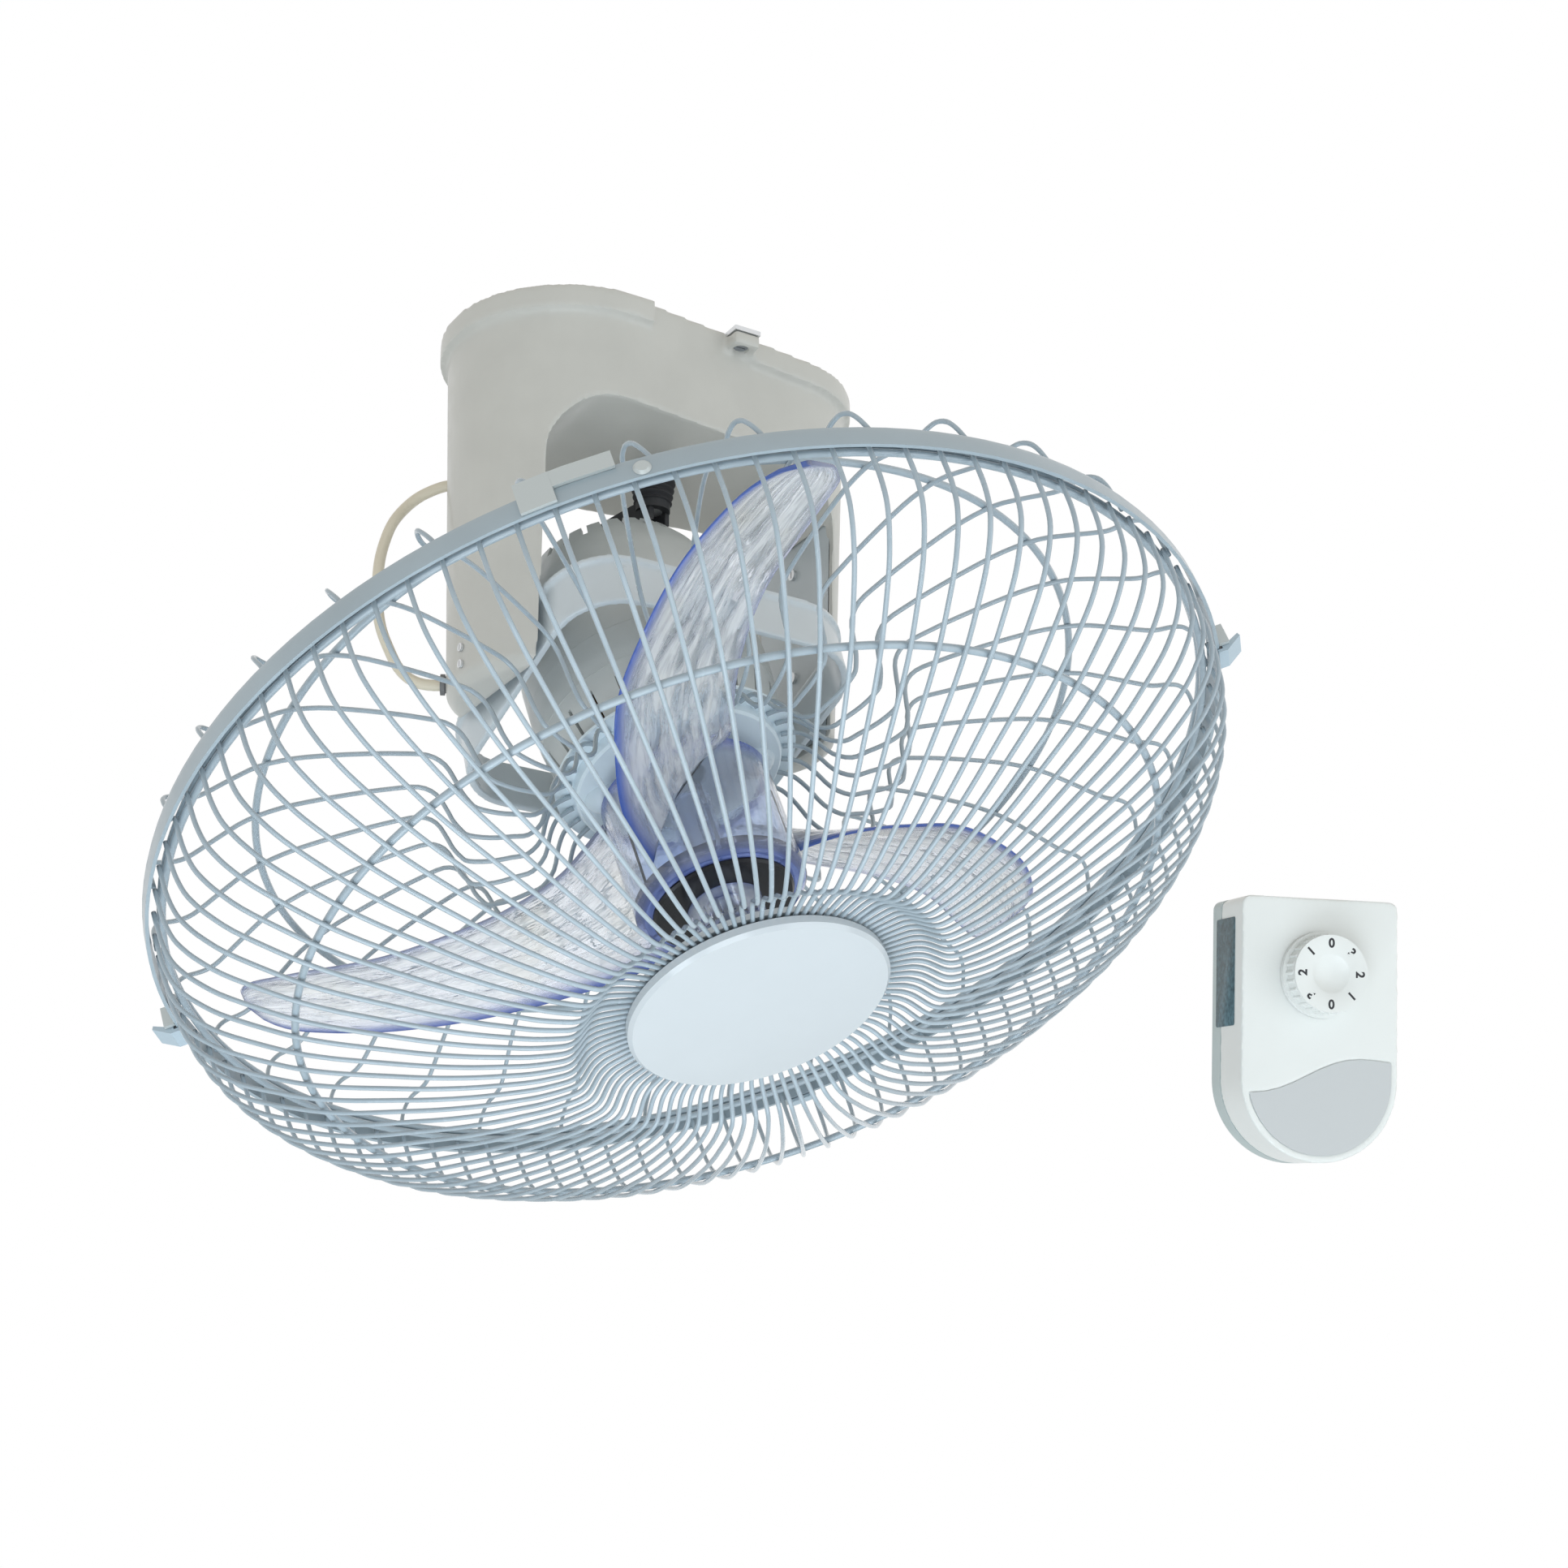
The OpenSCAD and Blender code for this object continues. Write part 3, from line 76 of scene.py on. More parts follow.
class NodeSheet:
    """A material's node tree with short calls to add and join nodes."""

    def __init__(self, name: str) -> None:
        """Starts an empty tree with one shader and its output."""
        self.material = bpy.data.materials.new(name)
        self.material.use_nodes = True
        self.tree = self.material.node_tree
        self.shader = self.tree.nodes["Principled BSDF"]

    def add(self, kind: str, **values: object) -> bpy.types.Node:
        """Adds a node.

        Args:
            kind: Blender's type name of the node.
            values: properties, or sockets by name with spaces as underscores.

        Returns:
            The new node.
        """
        node = self.tree.nodes.new(kind)
        for key, value in values.items():
            socket = key.replace("_", " ")
            if hasattr(node, key):
                setattr(node, key, value)
            else:
                node.inputs[socket].default_value = value
        return node

    def join(self, source: bpy.types.NodeSocket, target: bpy.types.NodeSocket) -> None:
        """Joins one socket to another."""
        self.tree.links.new(source, target)

    def place(self) -> bpy.types.NodeSocket:
        """The object's own coordinates, which are the frame's, in metres."""
        return self.add("ShaderNodeTexCoord").outputs["Object"]

    def noise(self, scale: float, detail: float = 3.0, rough: float = 0.55) -> bpy.types.NodeSocket:
        """Noise over the surface.

        Args:
            scale: lumps per metre.
            detail: octaves.
            rough: weight of each finer octave.

        Returns:
            The noise value, mostly within NOISE_SPAN.
        """
        node = self.add("ShaderNodeTexNoise", Scale=scale, Detail=detail, Roughness=rough)
        self.join(self.place(), node.inputs["Vector"])
        return node.outputs["Fac"]

    def ramp(self, value: bpy.types.NodeSocket, low: float, high: float,
             to_low: float, to_high: float) -> bpy.types.NodeSocket:
        """Maps a value from one range to another, held at the ends."""
        node = self.add("ShaderNodeMapRange")
        for key, number in (("From Min", low), ("From Max", high),
                            ("To Min", to_low), ("To Max", to_high)):
            node.inputs[key].default_value = number
        self.join(value, node.inputs["Value"])
        return node.outputs["Result"]

    def spread(self, value: bpy.types.NodeSocket, to_low: float,
               to_high: float) -> bpy.types.NodeSocket:
        """Maps noise from its usual span to another range."""
        return self.ramp(value, *NOISE_SPAN, to_low, to_high)

    def mix(self, share: bpy.types.NodeSocket, first: Colour | bpy.types.NodeSocket,
            second: Colour) -> bpy.types.NodeSocket:
        """Blends two colours by a share.

        Args:
            share: 0 gives the first colour, 1 the second.
            first: a colour, or a socket that carries one.
            second: a colour.

        Returns:
            The blended colour.
        """
        node = self.add("ShaderNodeMix", data_type="RGBA")
        if isinstance(first, tuple):
            node.inputs[6].default_value = (*first, 1)
        else:
            self.join(first, node.inputs[6])
        node.inputs[7].default_value = (*second, 1)
        self.join(share, node.inputs[0])
        return node.outputs[2]

    def bump(self, height: bpy.types.NodeSocket, depth: float, strength: float = 1.0) -> None:
        """Lets a height, 0 to 1, raise the surface by a depth in metres."""
        node = self.add("ShaderNodeBump", Strength=strength, Distance=depth)
        self.join(height, node.inputs["Height"])
        self.join(node.outputs["Normal"], self.shader.inputs["Normal"])


def shade(colour: Colour, factor: float) -> Colour:
    """The colour made darker or lighter by a factor, held at white."""
    return tuple(min(1.0, c * factor) for c in colour)


@dataclass(frozen=True)
class Finish:
    """A moulded, painted or metal surface with mottling, uneven gloss and a fine texture."""

    name: str
    colour: Colour
    roughness: float = 0.4
    metallic: float = 0.0
    mottle: float = 0.04
    mottle_scale: float = 35.0
    grain_scale: float = 1500.0
    grain_depth: float = 0.00003
    coat: float = 0.0
    coat_roughness: float = 0.08
    specular: float = 0.5

    def make(self) -> bpy.types.Material:
        """Builds the material, or returns the one built before."""
        found = bpy.data.materials.get(self.name)
        if found:
            return found
        sheet = NodeSheet(self.name)
        shader = sheet.shader
        share = sheet.spread(sheet.noise(self.mottle_scale), 0.0, 1.0)
        colour = sheet.mix(share, shade(self.colour, 1 - self.mottle),
                           shade(self.colour, 1 + self.mottle))
        sheet.join(colour, shader.inputs["Base Color"])
        gloss = sheet.noise(self.mottle_scale * 4)
        sheet.join(sheet.spread(gloss, self.roughness * 0.85, self.roughness * 1.2),
                   shader.inputs["Roughness"])
        shader.inputs["Metallic"].default_value = self.metallic
        shader.inputs["Coat Weight"].default_value = self.coat
        shader.inputs["Coat Roughness"].default_value = self.coat_roughness
        shader.inputs["Specular IOR Level"].default_value = self.specular
        sheet.bump(sheet.noise(self.grain_scale, 2.0), self.grain_depth)
        return sheet.material


@dataclass(frozen=True)
class ClearPlastic:
    """Clear plastic with painted reflection streaks, white painted highlights among dim and warm
    painted reflections, and deep blue edges: the plastic's own blue, deepened by painted glow where
    light gathers at the edges.
    """

    name: str
    # tint: colour of the painted white highlights in the streaks.
    tint: Colour
    # edge: the plastic's own blue, deepened by painted glow where light gathers at the edges.
    edge: Colour
    roughness: float = 0.06
    ripple_depth: float = 0.0
    # shadow: colour of the dim painted reflections in the streaks.
    shadow: Colour = (0.86, 0.895, 0.96)
    # Painted warm reflection, laid in patches over the streaks.
    warm_reflection: Colour = (0.97, 0.94, 0.85)
    warm_reflection_share: float = 0.6
    clearness: Pair = (0.93, 0.55)
    edge_clearness: Pair = (0.95, 0.3)
    specular: float = 0.7

    def make(self) -> bpy.types.Material:
        """Builds the material from the mesh attributes edge, for the painted edge glow, and
        streak_coords, for the painted reflection streaks.
        """
        sheet = NodeSheet(self.name)
        shader = sheet.shader
        edge = sheet.add("ShaderNodeAttribute", attribute_name="edge")
        streak_coords = sheet.add("ShaderNodeAttribute", attribute_name="streak_coords")
        streak = sheet.add("ShaderNodeTexNoise", Scale=1.0, Detail=3.0, Roughness=0.6,
                           Distortion=0.4)
        sheet.join(streak_coords.outputs["Vector"], streak.inputs["Vector"])
        # Painted reflection streaks: share 0 gives the dim painted reflection, share 1 the white
        # painted highlight.
        share = sheet.ramp(streak.outputs["Fac"], 0.36, 0.62, 0.0, 1.0)
        # Patches of painted warm reflection.
        warm = sheet.ramp(sheet.noise(26.0), 0.5, 0.66, 0.0, self.warm_reflection_share)
        body = sheet.mix(share, self.shadow, self.tint)
        body = sheet.mix(warm, body, self.warm_reflection)
        # Deep blue edges: the plastic's own blue, deepened by painted glow where light gathers.
        sheet.join(sheet.mix(edge.outputs["Fac"], body, self.edge), shader.inputs["Base Color"])
        # Painted highlights: the white streaks let less light through, so they show bright.
        highlight_clearness = sheet.ramp(share, 0.0, 1.0, *self.clearness)
        held = sheet.add("ShaderNodeMath", operation="MINIMUM")
        sheet.join(highlight_clearness, held.inputs[0])
        # Less light through at the edges, so the painted edge glow shows deep blue.
        sheet.join(sheet.ramp(edge.outputs["Fac"], 0.0, 1.0, *self.edge_clearness),
                   held.inputs[1])
        sheet.join(held.outputs[0], shader.inputs["Transmission Weight"])
        shader.inputs["IOR"].default_value = PLASTIC_IOR
        shader.inputs["Specular IOR Level"].default_value = self.specular
        gloss = sheet.noise(120.0)
        sheet.join(sheet.spread(gloss, self.roughness * 0.6, self.roughness * 1.4),
                   shader.inputs["Roughness"])
        sheet.bump(share, self.ripple_depth)
        return sheet.material


@dataclass(frozen=True)
class BandedClear:
    """Clear plastic of a turned piece, blue near two planes square to the head's axis."""

    name: str
    tint: Colour
    edge: Colour
    planes: Pair
    reach: float = 6 * MM
    most_blue: float = 0.85
    clearness: Pair = (0.94, 0.5)
    roughness: Pair = (0.04, 0.12)
    ripple_depth: float = 0.00008

    def make(self) -> bpy.types.Material:
        """Builds the material; the share of blue falls off with distance from each plane."""
        sheet = NodeSheet(self.name)
        shader = sheet.shader
        axis = sheet.add("ShaderNodeVectorMath", operation="DOT_PRODUCT")
        sheet.join(sheet.place(), axis.inputs[0])
        axis.inputs[1].default_value = HEAD.forward()
        shift = HEAD.forward().dot(Vector((0, 0, -HEAD.pivot_drop)))
        low, high = (p + shift for p in self.planes)
        rear = sheet.ramp(axis.outputs["Value"], low, low + self.reach, 1.0, 0.0)
        front = sheet.ramp(axis.outputs["Value"], high - self.reach, high, 0.0, 1.0)
        both = sheet.add("ShaderNodeMath", operation="MAXIMUM")
        sheet.join(rear, both.inputs[0])
        sheet.join(front, both.inputs[1])
        share = sheet.ramp(both.outputs[0], 0.0, 1.0, 0.0, self.most_blue)
        sheet.join(sheet.mix(share, self.tint, self.edge), shader.inputs["Base Color"])
        sheet.join(sheet.ramp(share, 0.0, 1.0, *self.clearness),
                   shader.inputs["Transmission Weight"])
        shader.inputs["IOR"].default_value = PLASTIC_IOR
        sheet.join(sheet.spread(sheet.noise(150.0), *self.roughness),
                   shader.inputs["Roughness"])
        sheet.bump(sheet.noise(260.0), self.ripple_depth)
        return sheet.material


HOUSING_IVORY = Finish("ivory_housing", (0.585, 0.58, 0.545), 0.4, coat=0.12, grain_depth=0.00004)
INNER_WHITE = Finish("cool_white_moulding", (0.60, 0.645, 0.67), 0.38, coat=0.1)
MOTOR_ENAMEL = Finish("motor_enamel", (0.55, 0.575, 0.57), 0.4, coat=0.12, grain_depth=0.00006)
FRAME_ENAMEL = Finish("frame_enamel", (0.60, 0.66, 0.70), 0.32, coat=0.25)
CAGE_PAINT = Finish("cage_paint", (0.37, 0.445, 0.50), 0.24, mottle=0.06, mottle_scale=60.0,
                    grain_scale=900.0, coat=0.5)
BAND_PAINT = Finish("band_paint", (0.37, 0.445, 0.495), 0.34, mottle=0.05, coat=0.25)
CLIP_GREY = Finish("clip_grey", (0.26, 0.285, 0.30), 0.45, mottle=0.07)
LEVER_BLUE = Finish("lever_blue", (0.22, 0.32, 0.42), 0.35)
COLLAR_BLUE = Finish("collar_blue", (0.55, 0.69, 0.78), 0.28, coat=0.2)
KNOB_BLUE = Finish("knob_blue", (0.62, 0.72, 0.79), 0.3, coat=0.2)
BADGE_WHITE = Finish("badge_gloss", (0.57, 0.61, 0.64), 0.18, mottle=0.012, coat=0.6,
                     grain_depth=0.00001)
DISC_BLACK = Finish("disc_black", (0.006, 0.006, 0.011), 0.22, mottle=0.1, coat=0.15,
                    specular=0.3, grain_depth=0.00001)
ZINC = Finish("zinc_steel", (0.62, 0.63, 0.65), 0.34, metallic=1.0, mottle=0.08, mottle_scale=90.0)
BRONZE = Finish("sintered_bronze", (0.60, 0.44, 0.23), 0.42, metallic=1.0, mottle=0.1)
NYLON = Finish("nylon", (0.70, 0.68, 0.61), 0.45)
BLACK = Finish("black_moulding", (0.025, 0.026, 0.03), 0.45, mottle=0.12)
GROMMET_GREY = Finish("grommet_grey", (0.16, 0.16, 0.165), 0.5, mottle=0.1)
RUBBER = Finish("boot_rubber", (0.055, 0.06, 0.068), 0.5, mottle=0.15, grain_depth=0.00008)
CORD = Finish("cord_beige", (0.52, 0.48, 0.39), 0.45, mottle=0.06, mottle_scale=120.0)
STEEL_DARK = Finish("lamination", (0.26, 0.28, 0.30), 0.5, metallic=0.8, mottle=0.1)
COPPER = Finish("enamelled_copper", (0.55, 0.24, 0.08), 0.35, metallic=0.9, mottle=0.12)
CHOKE = Finish("varnished_choke", (0.28, 0.16, 0.07), 0.5, mottle=0.12)
REG_WHITE = Finish("regulator_white", (0.74, 0.76, 0.745), 0.34, mottle=0.015, coat=0.1)
REG_GREY = Finish("regulator_side", (0.46, 0.53, 0.53), 0.42, mottle=0.05)
PANEL_GREY = Finish("panel_grey", (0.48, 0.505, 0.51), 0.36, mottle=0.02)
LABEL_DARK = Finish("bare_label", (0.07, 0.13, 0.155), 0.5, mottle=0.45, mottle_scale=420.0)
INK = Finish("numeral_ink", (0.02, 0.02, 0.025), 0.5)
# Blade plastic: painted white highlights, dim and warm painted reflections, and deep blue painted
# edge glow.
BLADE_CLEAR = ClearPlastic("blade_clear", (0.97, 0.98, 1.0), (0.05, 0.13, 0.55), 0.05, 0.00035)
HUB_CLEAR = BandedClear("hub_clear", (0.84, 0.90, 1.0), (0.07, 0.15, 0.62),
                        (53 * MM, 108 * MM), 7 * MM)
NUT_CLEAR = BandedClear("nut_clear", (0.84, 0.90, 1.0), (0.07, 0.15, 0.62),
                        (109 * MM, 126 * MM), 3 * MM)

NODE_FINISHES = {
    ZINC: ("ceiling_plate", "leg_plate_screws", "gearbox_plate",
           "gearbox_screws", "orbit_motor", "crank_shaft", "cord_clamp", "leg_pins",
           "motor_pins", "motor_shaft", "tail_stud", "badge_screws", "reg_screws"),
    BRONZE: ("leg_bushes", "crank_bush", "rear_bearing", "front_bearing"),
    NYLON: ("terminal_block", "pinion", "crank_gear", "pin_washers", "reg_switch"),
    BLACK: ("capacitor", "crank_fork"),
    GROMMET_GREY: ("cable_grommet",),
    CLIP_GREY: ("latch_bases",),
    BADGE_WHITE: ("badge_retainer",),
    STEEL_DARK: ("stator_core", "rotor_core", "ear_screws"),
    COPPER: ("stator_windings",),
    CHOKE: ("reg_choke",),
    PANEL_GREY: ("reg_panel",),
}

# ---------------------------------------------------------------- places


@dataclass(frozen=True)
class HeadPlace:
    """Where the motor head stands at rest, and the way its axis points."""

    pivot_drop: float = 147.6 * MM
    frame_swing: float = 21.7
    motor_swing: float = 6.45

    def matrix(self) -> Matrix:
        """From head coordinates, with forward along -Z, to the frame."""
        return (Matrix.Translation((0, 0, -self.pivot_drop))
                @ Matrix.Rotation(math.radians(-self.frame_swing), 4, "X")
                @ Matrix.Rotation(math.radians(-self.motor_swing), 4, "Y"))

    def forward(self) -> Vector:
        """The unit direction from the pivot to the badge."""
        return -(self.matrix().to_3x3() @ Vector((0, 0, 1)))


@dataclass(frozen=True)
class RegulatorPlace:
    """Where the regulator stands; its face looks along its own -Y."""

    centre: Point = (0.324, -0.019, -0.246)
    heading: float = -31.7
    lean: float = 14.0
    side_turn: float = 12.5
    roll: float = 2.0
    depth: float = 0.036

    def matrix(self) -> Matrix:
        """From the regulator's coordinates to the frame."""
        return (Matrix.Translation(self.centre)
                @ Matrix.Rotation(math.radians(self.heading), 4, "Z")
                @ Matrix.Rotation(math.radians(self.lean), 4, "X")
                @ Matrix.Rotation(math.radians(self.side_turn), 4, "Z")
                @ Matrix.Rotation(math.radians(self.roll), 4, "Y"))


HEAD = HeadPlace()
REGULATOR = RegulatorPlace()

# ---------------------------------------------------------------- mesh work


def between(a: Vector | float, b: Vector | float, c: Vector | float, d: Vector | float,
            s: float) -> Vector | float:
    """The value at share s from b to c on a smooth curve through a, b, c and d."""
    return b + 0.5 * s * ((c - a) + s * ((2 * a - 5 * b + 4 * c - d)
                                         + s * (3 * (b - c) + d - a)))


def smooth_path(points: list[tuple[float, ...]], per_span: int) -> list[Vector]:
    """A smooth line through the listed points.

    Args:
        points: at least two points, in any number of dimensions up to three.
        per_span: steps between one listed point and the next.

    Returns:
        The points of the line, the first and last listed ones included.
    """
    listed = [Vector((*p, 0.0)) if len(p) == 2 else Vector(p) for p in points]
    last = len(listed) - 1
    line = []
    for i in range(last):
        a, b = listed[max(i - 1, 0)], listed[i]
        c, d = listed[i + 1], listed[min(i + 2, last)]
        line.extend(between(a, b, c, d, k / per_span) for k in range(per_span))
    line.append(listed[last])
    return line


@dataclass
class Shape:
    """Corners and faces that grow as pieces are added, then become one object."""

    corners: list[Vector] = field(default_factory=list)
    faces: list[tuple[int, ...]] = field(default_factory=list)

    def loft(self, rings: list[list[Vector]], capped: bool = True, looped: bool = False) -> None:
        """Skins a row of rings of equal count.

        Args:
            rings: each ring's points, in order round it.
            capped: closes the first and last ring.
            looped: joins the last ring to the first.
        """
        start, count = len(self.corners), len(rings[0])
        for ring in rings:
            self.corners.extend(ring)
        spans = len(rings) if looped else len(rings) - 1
        for i in range(spans):
            here, there = start + i * count, start + (i + 1) % len(rings) * count
            for k in range(count):
                n = (k + 1) % count
                self.faces.append((here + k, here + n, there + n, there + k))
        if capped and not looped:
            self.faces.append(tuple(start + k for k in reversed(range(count))))
            end = start + (len(rings) - 1) * count
            self.faces.append(tuple(end + k for k in range(count)))

    def wire(self, path: list[Vector], radius: float, across: Vector, sides: int) -> None:
        """A round wire along a path that lies in a plane square to a direction."""
        rings = []
        for i, point in enumerate(path):
            along = path[min(i + 1, len(path) - 1)] - path[max(i - 1, 0)]
            out = along.normalized().cross(across).normalized()
            rings.append([point + radius * (math.cos(a) * out + math.sin(a) * across)
                          for a in (math.tau * k / sides for k in range(sides))])
        self.loft(rings)

    def hoop(self, radius: float, forward: float, thickness: float,
             steps: int = 180, sides: int = 12) -> None:
        """A round wire bent to a full circle about the axis."""
        rings = []
        for i in range(steps):
            a = math.tau * i / steps
            out = Vector((math.cos(a), math.sin(a), 0))
            rings.append([out * (radius + thickness * math.cos(b))
                          + Vector((0, 0, -forward + thickness * math.sin(b)))
                          for b in (math.tau * k / sides for k in range(sides))])
        self.loft(rings, capped=False, looped=True)

    def turned(self, profile: list[Pair], steps: int = 64) -> None:
        """A closed profile of (radius, height) pairs turned about the Z axis."""
        rings = [[Vector((r * math.cos(a), r * math.sin(a), z)) for r, z in profile]
                 for a in (math.tau * i / steps for i in range(steps))]
        self.loft(rings, capped=False, looped=True)

    def build(self, name: str, finish: bpy.types.Material, place: Matrix | None = None,
              edge: list[float] | None = None,
              streak_coords: list[float] | None = None) -> bpy.types.Object:
        """Makes the object.

        Args:
            name: the piece's name.
            finish: its material.
            place: moves the corners into the frame; the object itself stays at the origin.
            edge: a share for each corner, kept as the attribute named edge.
            streak_coords: three numbers for each corner, kept as the attribute named streak_coords.

        Returns:
            The new smooth-shaded object.
        """
        mesh = bpy.data.meshes.new(name)
        move = place or Matrix.Identity(4)
        mesh.from_pydata([move @ c for c in self.corners], [], self.faces)
        mesh.materials.append(finish)
        mesh.polygons.foreach_set("use_smooth", [True] * len(mesh.polygons))
        if edge is not None:
            mesh.attributes.new("edge", "FLOAT", "POINT").data.foreach_set("value", edge)
        if streak_coords is not None:
            mesh.attributes.new("streak_coords", "FLOAT_VECTOR", "POINT").data.foreach_set("vector", streak_coords)
        mesh.update()
        made = bpy.data.objects.new(name, mesh)
        bpy.context.scene.collection.objects.link(made)
        return made


def dress(node: str, finish: bpy.types.Material, crease: float = 32.0) -> None:
    """Gives a carried-over node its material and smooth shading between its creases."""
    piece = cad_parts[node]
    piece.data.materials.clear()
    piece.data.materials.append(finish)
    piece.data.shade_smooth()
    piece.data.set_sharp_from_angle(angle=math.radians(crease))


class Edges(Enum):
    """How the edges of a moulding are treated."""

    CRISP = 0.0
    SOFT = 0.8 * MM
    ROUND = 1.2 * MM


@dataclass
class Moulding:
    """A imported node's surface made over: its facets joined, and its edges rounded or left crisp."""

    node: str
    body: Body
    finish: Finish | BandedClear
    slot: str
    edges: Edges = Edges.CRISP
    crease: float = 32.0
    rounds: int = 4
    weld: float = 0.002 * MM

    def joined(self) -> bpy.types.Mesh:
        """A copy of the node's mesh with its facets joined at their shared corners."""
        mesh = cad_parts[self.node].data.copy()
        work = bmesh.new()
        work.from_mesh(mesh)
        bmesh.ops.remove_doubles(work, verts=work.verts, dist=self.weld)
        work.to_mesh(mesh)
        work.free()
        if "custom_normal" in mesh.attributes:
            mesh.attributes.remove(mesh.attributes["custom_normal"])
        mesh.materials.clear()
        mesh.materials.append(self.finish.make())
        return mesh

    def rounded(self, piece: bpy.types.Object) -> bpy.types.Mesh:
        """The piece's surface in small even faces, smoothed until its edges are round."""
        even = piece.modifiers.new("even", "REMESH")
        even.mode, even.voxel_size = "VOXEL", self.edges.value
        even.use_smooth_shade = True
        soften = piece.modifiers.new("soften", "SMOOTH")
        soften.factor, soften.iterations = 0.5, self.rounds
        view = bpy.context.evaluated_depsgraph_get()
        mesh = bpy.data.meshes.new_from_object(piece.evaluated_get(view))
        piece.modifiers.clear()
        return mesh

    def build(self) -> list[bpy.types.Object]:
        """Makes the piece and puts it in the node's place."""
        mesh = self.joined()
        made = bpy.data.objects.new(f"{self.node}_moulding", mesh)
        bpy.context.scene.collection.objects.link(made)
        if self.edges is not Edges.CRISP:
            made.data = self.rounded(made)
        made.data.shade_smooth()
        made.data.set_sharp_from_angle(angle=math.radians(self.crease))
        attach(made, self.body.value)
        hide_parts(self.node)
        return [made]


# ---------------------------------------------------------------- cage


@dataclass
class Cage:
    """The two wire guards with their rings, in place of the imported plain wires."""

    wire_radius: float = 0.95 * MM
    ring_radius: float = 1.5 * MM
    front_count: int = 96
    front_first: float = 2.0
    rear_count: int = 34
    rear_first: float = 192.2
    front_profile: tuple[Pair, ...] = (
        (213.2, 75), (213, 82), (212.4, 90), (210.5, 98), (207.3, 103.8), (203.3, 108.8),
        (196, 115.8), (184, 124), (172, 131.3), (160, 137), (150, 141), (140, 144.8),
        (130, 148.6), (120, 152), (110, 155), (100, 157.5), (90, 159.8), (80, 161),
        (75.5, 160.9), (72.6, 159.6), (70, 157.2), (67.4, 154.9), (64.5, 153.4), (60, 152.5),
        (46, 152.2))
    rear_profile: tuple[Pair, ...] = (
        (213.2, 73), (213.2, 66), (213.1, 61.8), (212.1, 58.5), (209.4, 56.2), (205.5, 55.6),
        (200, 55), (195, 53), (183, 45.8), (172, 39.9), (158, 36), (143, 34.2), (127, 33.2),
        (115, 33), (104, 33.7), (98, 38.5), (95.5, 47), (94.5, 52), (92.5, 57), (90, 60.2),
        (82, 62.6), (73.5, 63.3), (67, 63.4), (60.5, 58.5), (56, 49.5), (52, 44), (48, 42),
        (44, 41.1))
    wire_sides: int = 8
    steps: int = 3
    rim_sway: float = 2.4
    sway_length: float = 26.0 * MM
    front_rings: tuple[Pair, ...] = ((210.2, 75.55), (170.8, 128.8))
    rear_rings: tuple[Pair, ...] = ((210.2, 72.25), (168, 36))

    def guard(self, name: str, nodes: tuple[str, str], profile: tuple[Pair, ...], count: int,
              first: float, rings: tuple[Pair, ...], sway: float) -> bpy.types.Object:
        """Makes one guard.

        Args:
            name: the piece's name.
            nodes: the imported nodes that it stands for.
            profile: (radius, forward) pairs along one wire, in millimetres.
            count: wires in the guard.
            first: angle of the first wire, in degrees.
            rings: (radius, forward) of each ring, in millimetres.
            sway: how far each wire's rim end stands to one side, in degrees.

        Returns:
            The guard.
        """
        shape = Shape()
        line = smooth_path([(r * MM, d * MM) for r, d in profile], self.steps)
        walked = [0.0]
        for p, q in zip(line, line[1:]):
            walked.append(walked[-1] + (q - p).length)
        shares = [max(1 - length / self.sway_length, 0.0) for length in walked]
        turns = [math.radians(sway) * share * share * (3 - 2 * share) for share in shares]
        for k in range(count):
            a = math.radians(first + 360 * k / count)
            path = [Vector((p.x * math.cos(a + turn), p.x * math.sin(a + turn), -p.y))
                    for p, turn in zip(line, turns)]
            across = Vector((-math.sin(a), math.cos(a), 0))
            shape.wire(path, self.wire_radius, across, self.wire_sides)
        for radius, forward in rings:
            shape.hoop(radius * MM, forward * MM, self.ring_radius)
        guard = shape.build(name, CAGE_PAINT.make(), HEAD.matrix())
        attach(guard, Body.HEAD.value)
        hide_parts(*nodes)
        return guard

    def build(self) -> list[bpy.types.Object]:
        """Makes the front and the rear guard."""
        front = self.guard("front_guard", ("front_guard_wires", "front_guard_rings"),
                           self.front_profile, self.front_count, self.front_first,
                           self.front_rings, 0.0)
        rear = self.guard("rear_guard", ("rear_guard_wires", "rear_guard_rings"),
                          self.rear_profile, self.rear_count, self.rear_first,
                          self.rear_rings, self.rim_sway)
        return [front, rear]


# ---------------------------------------------------------------- rotor


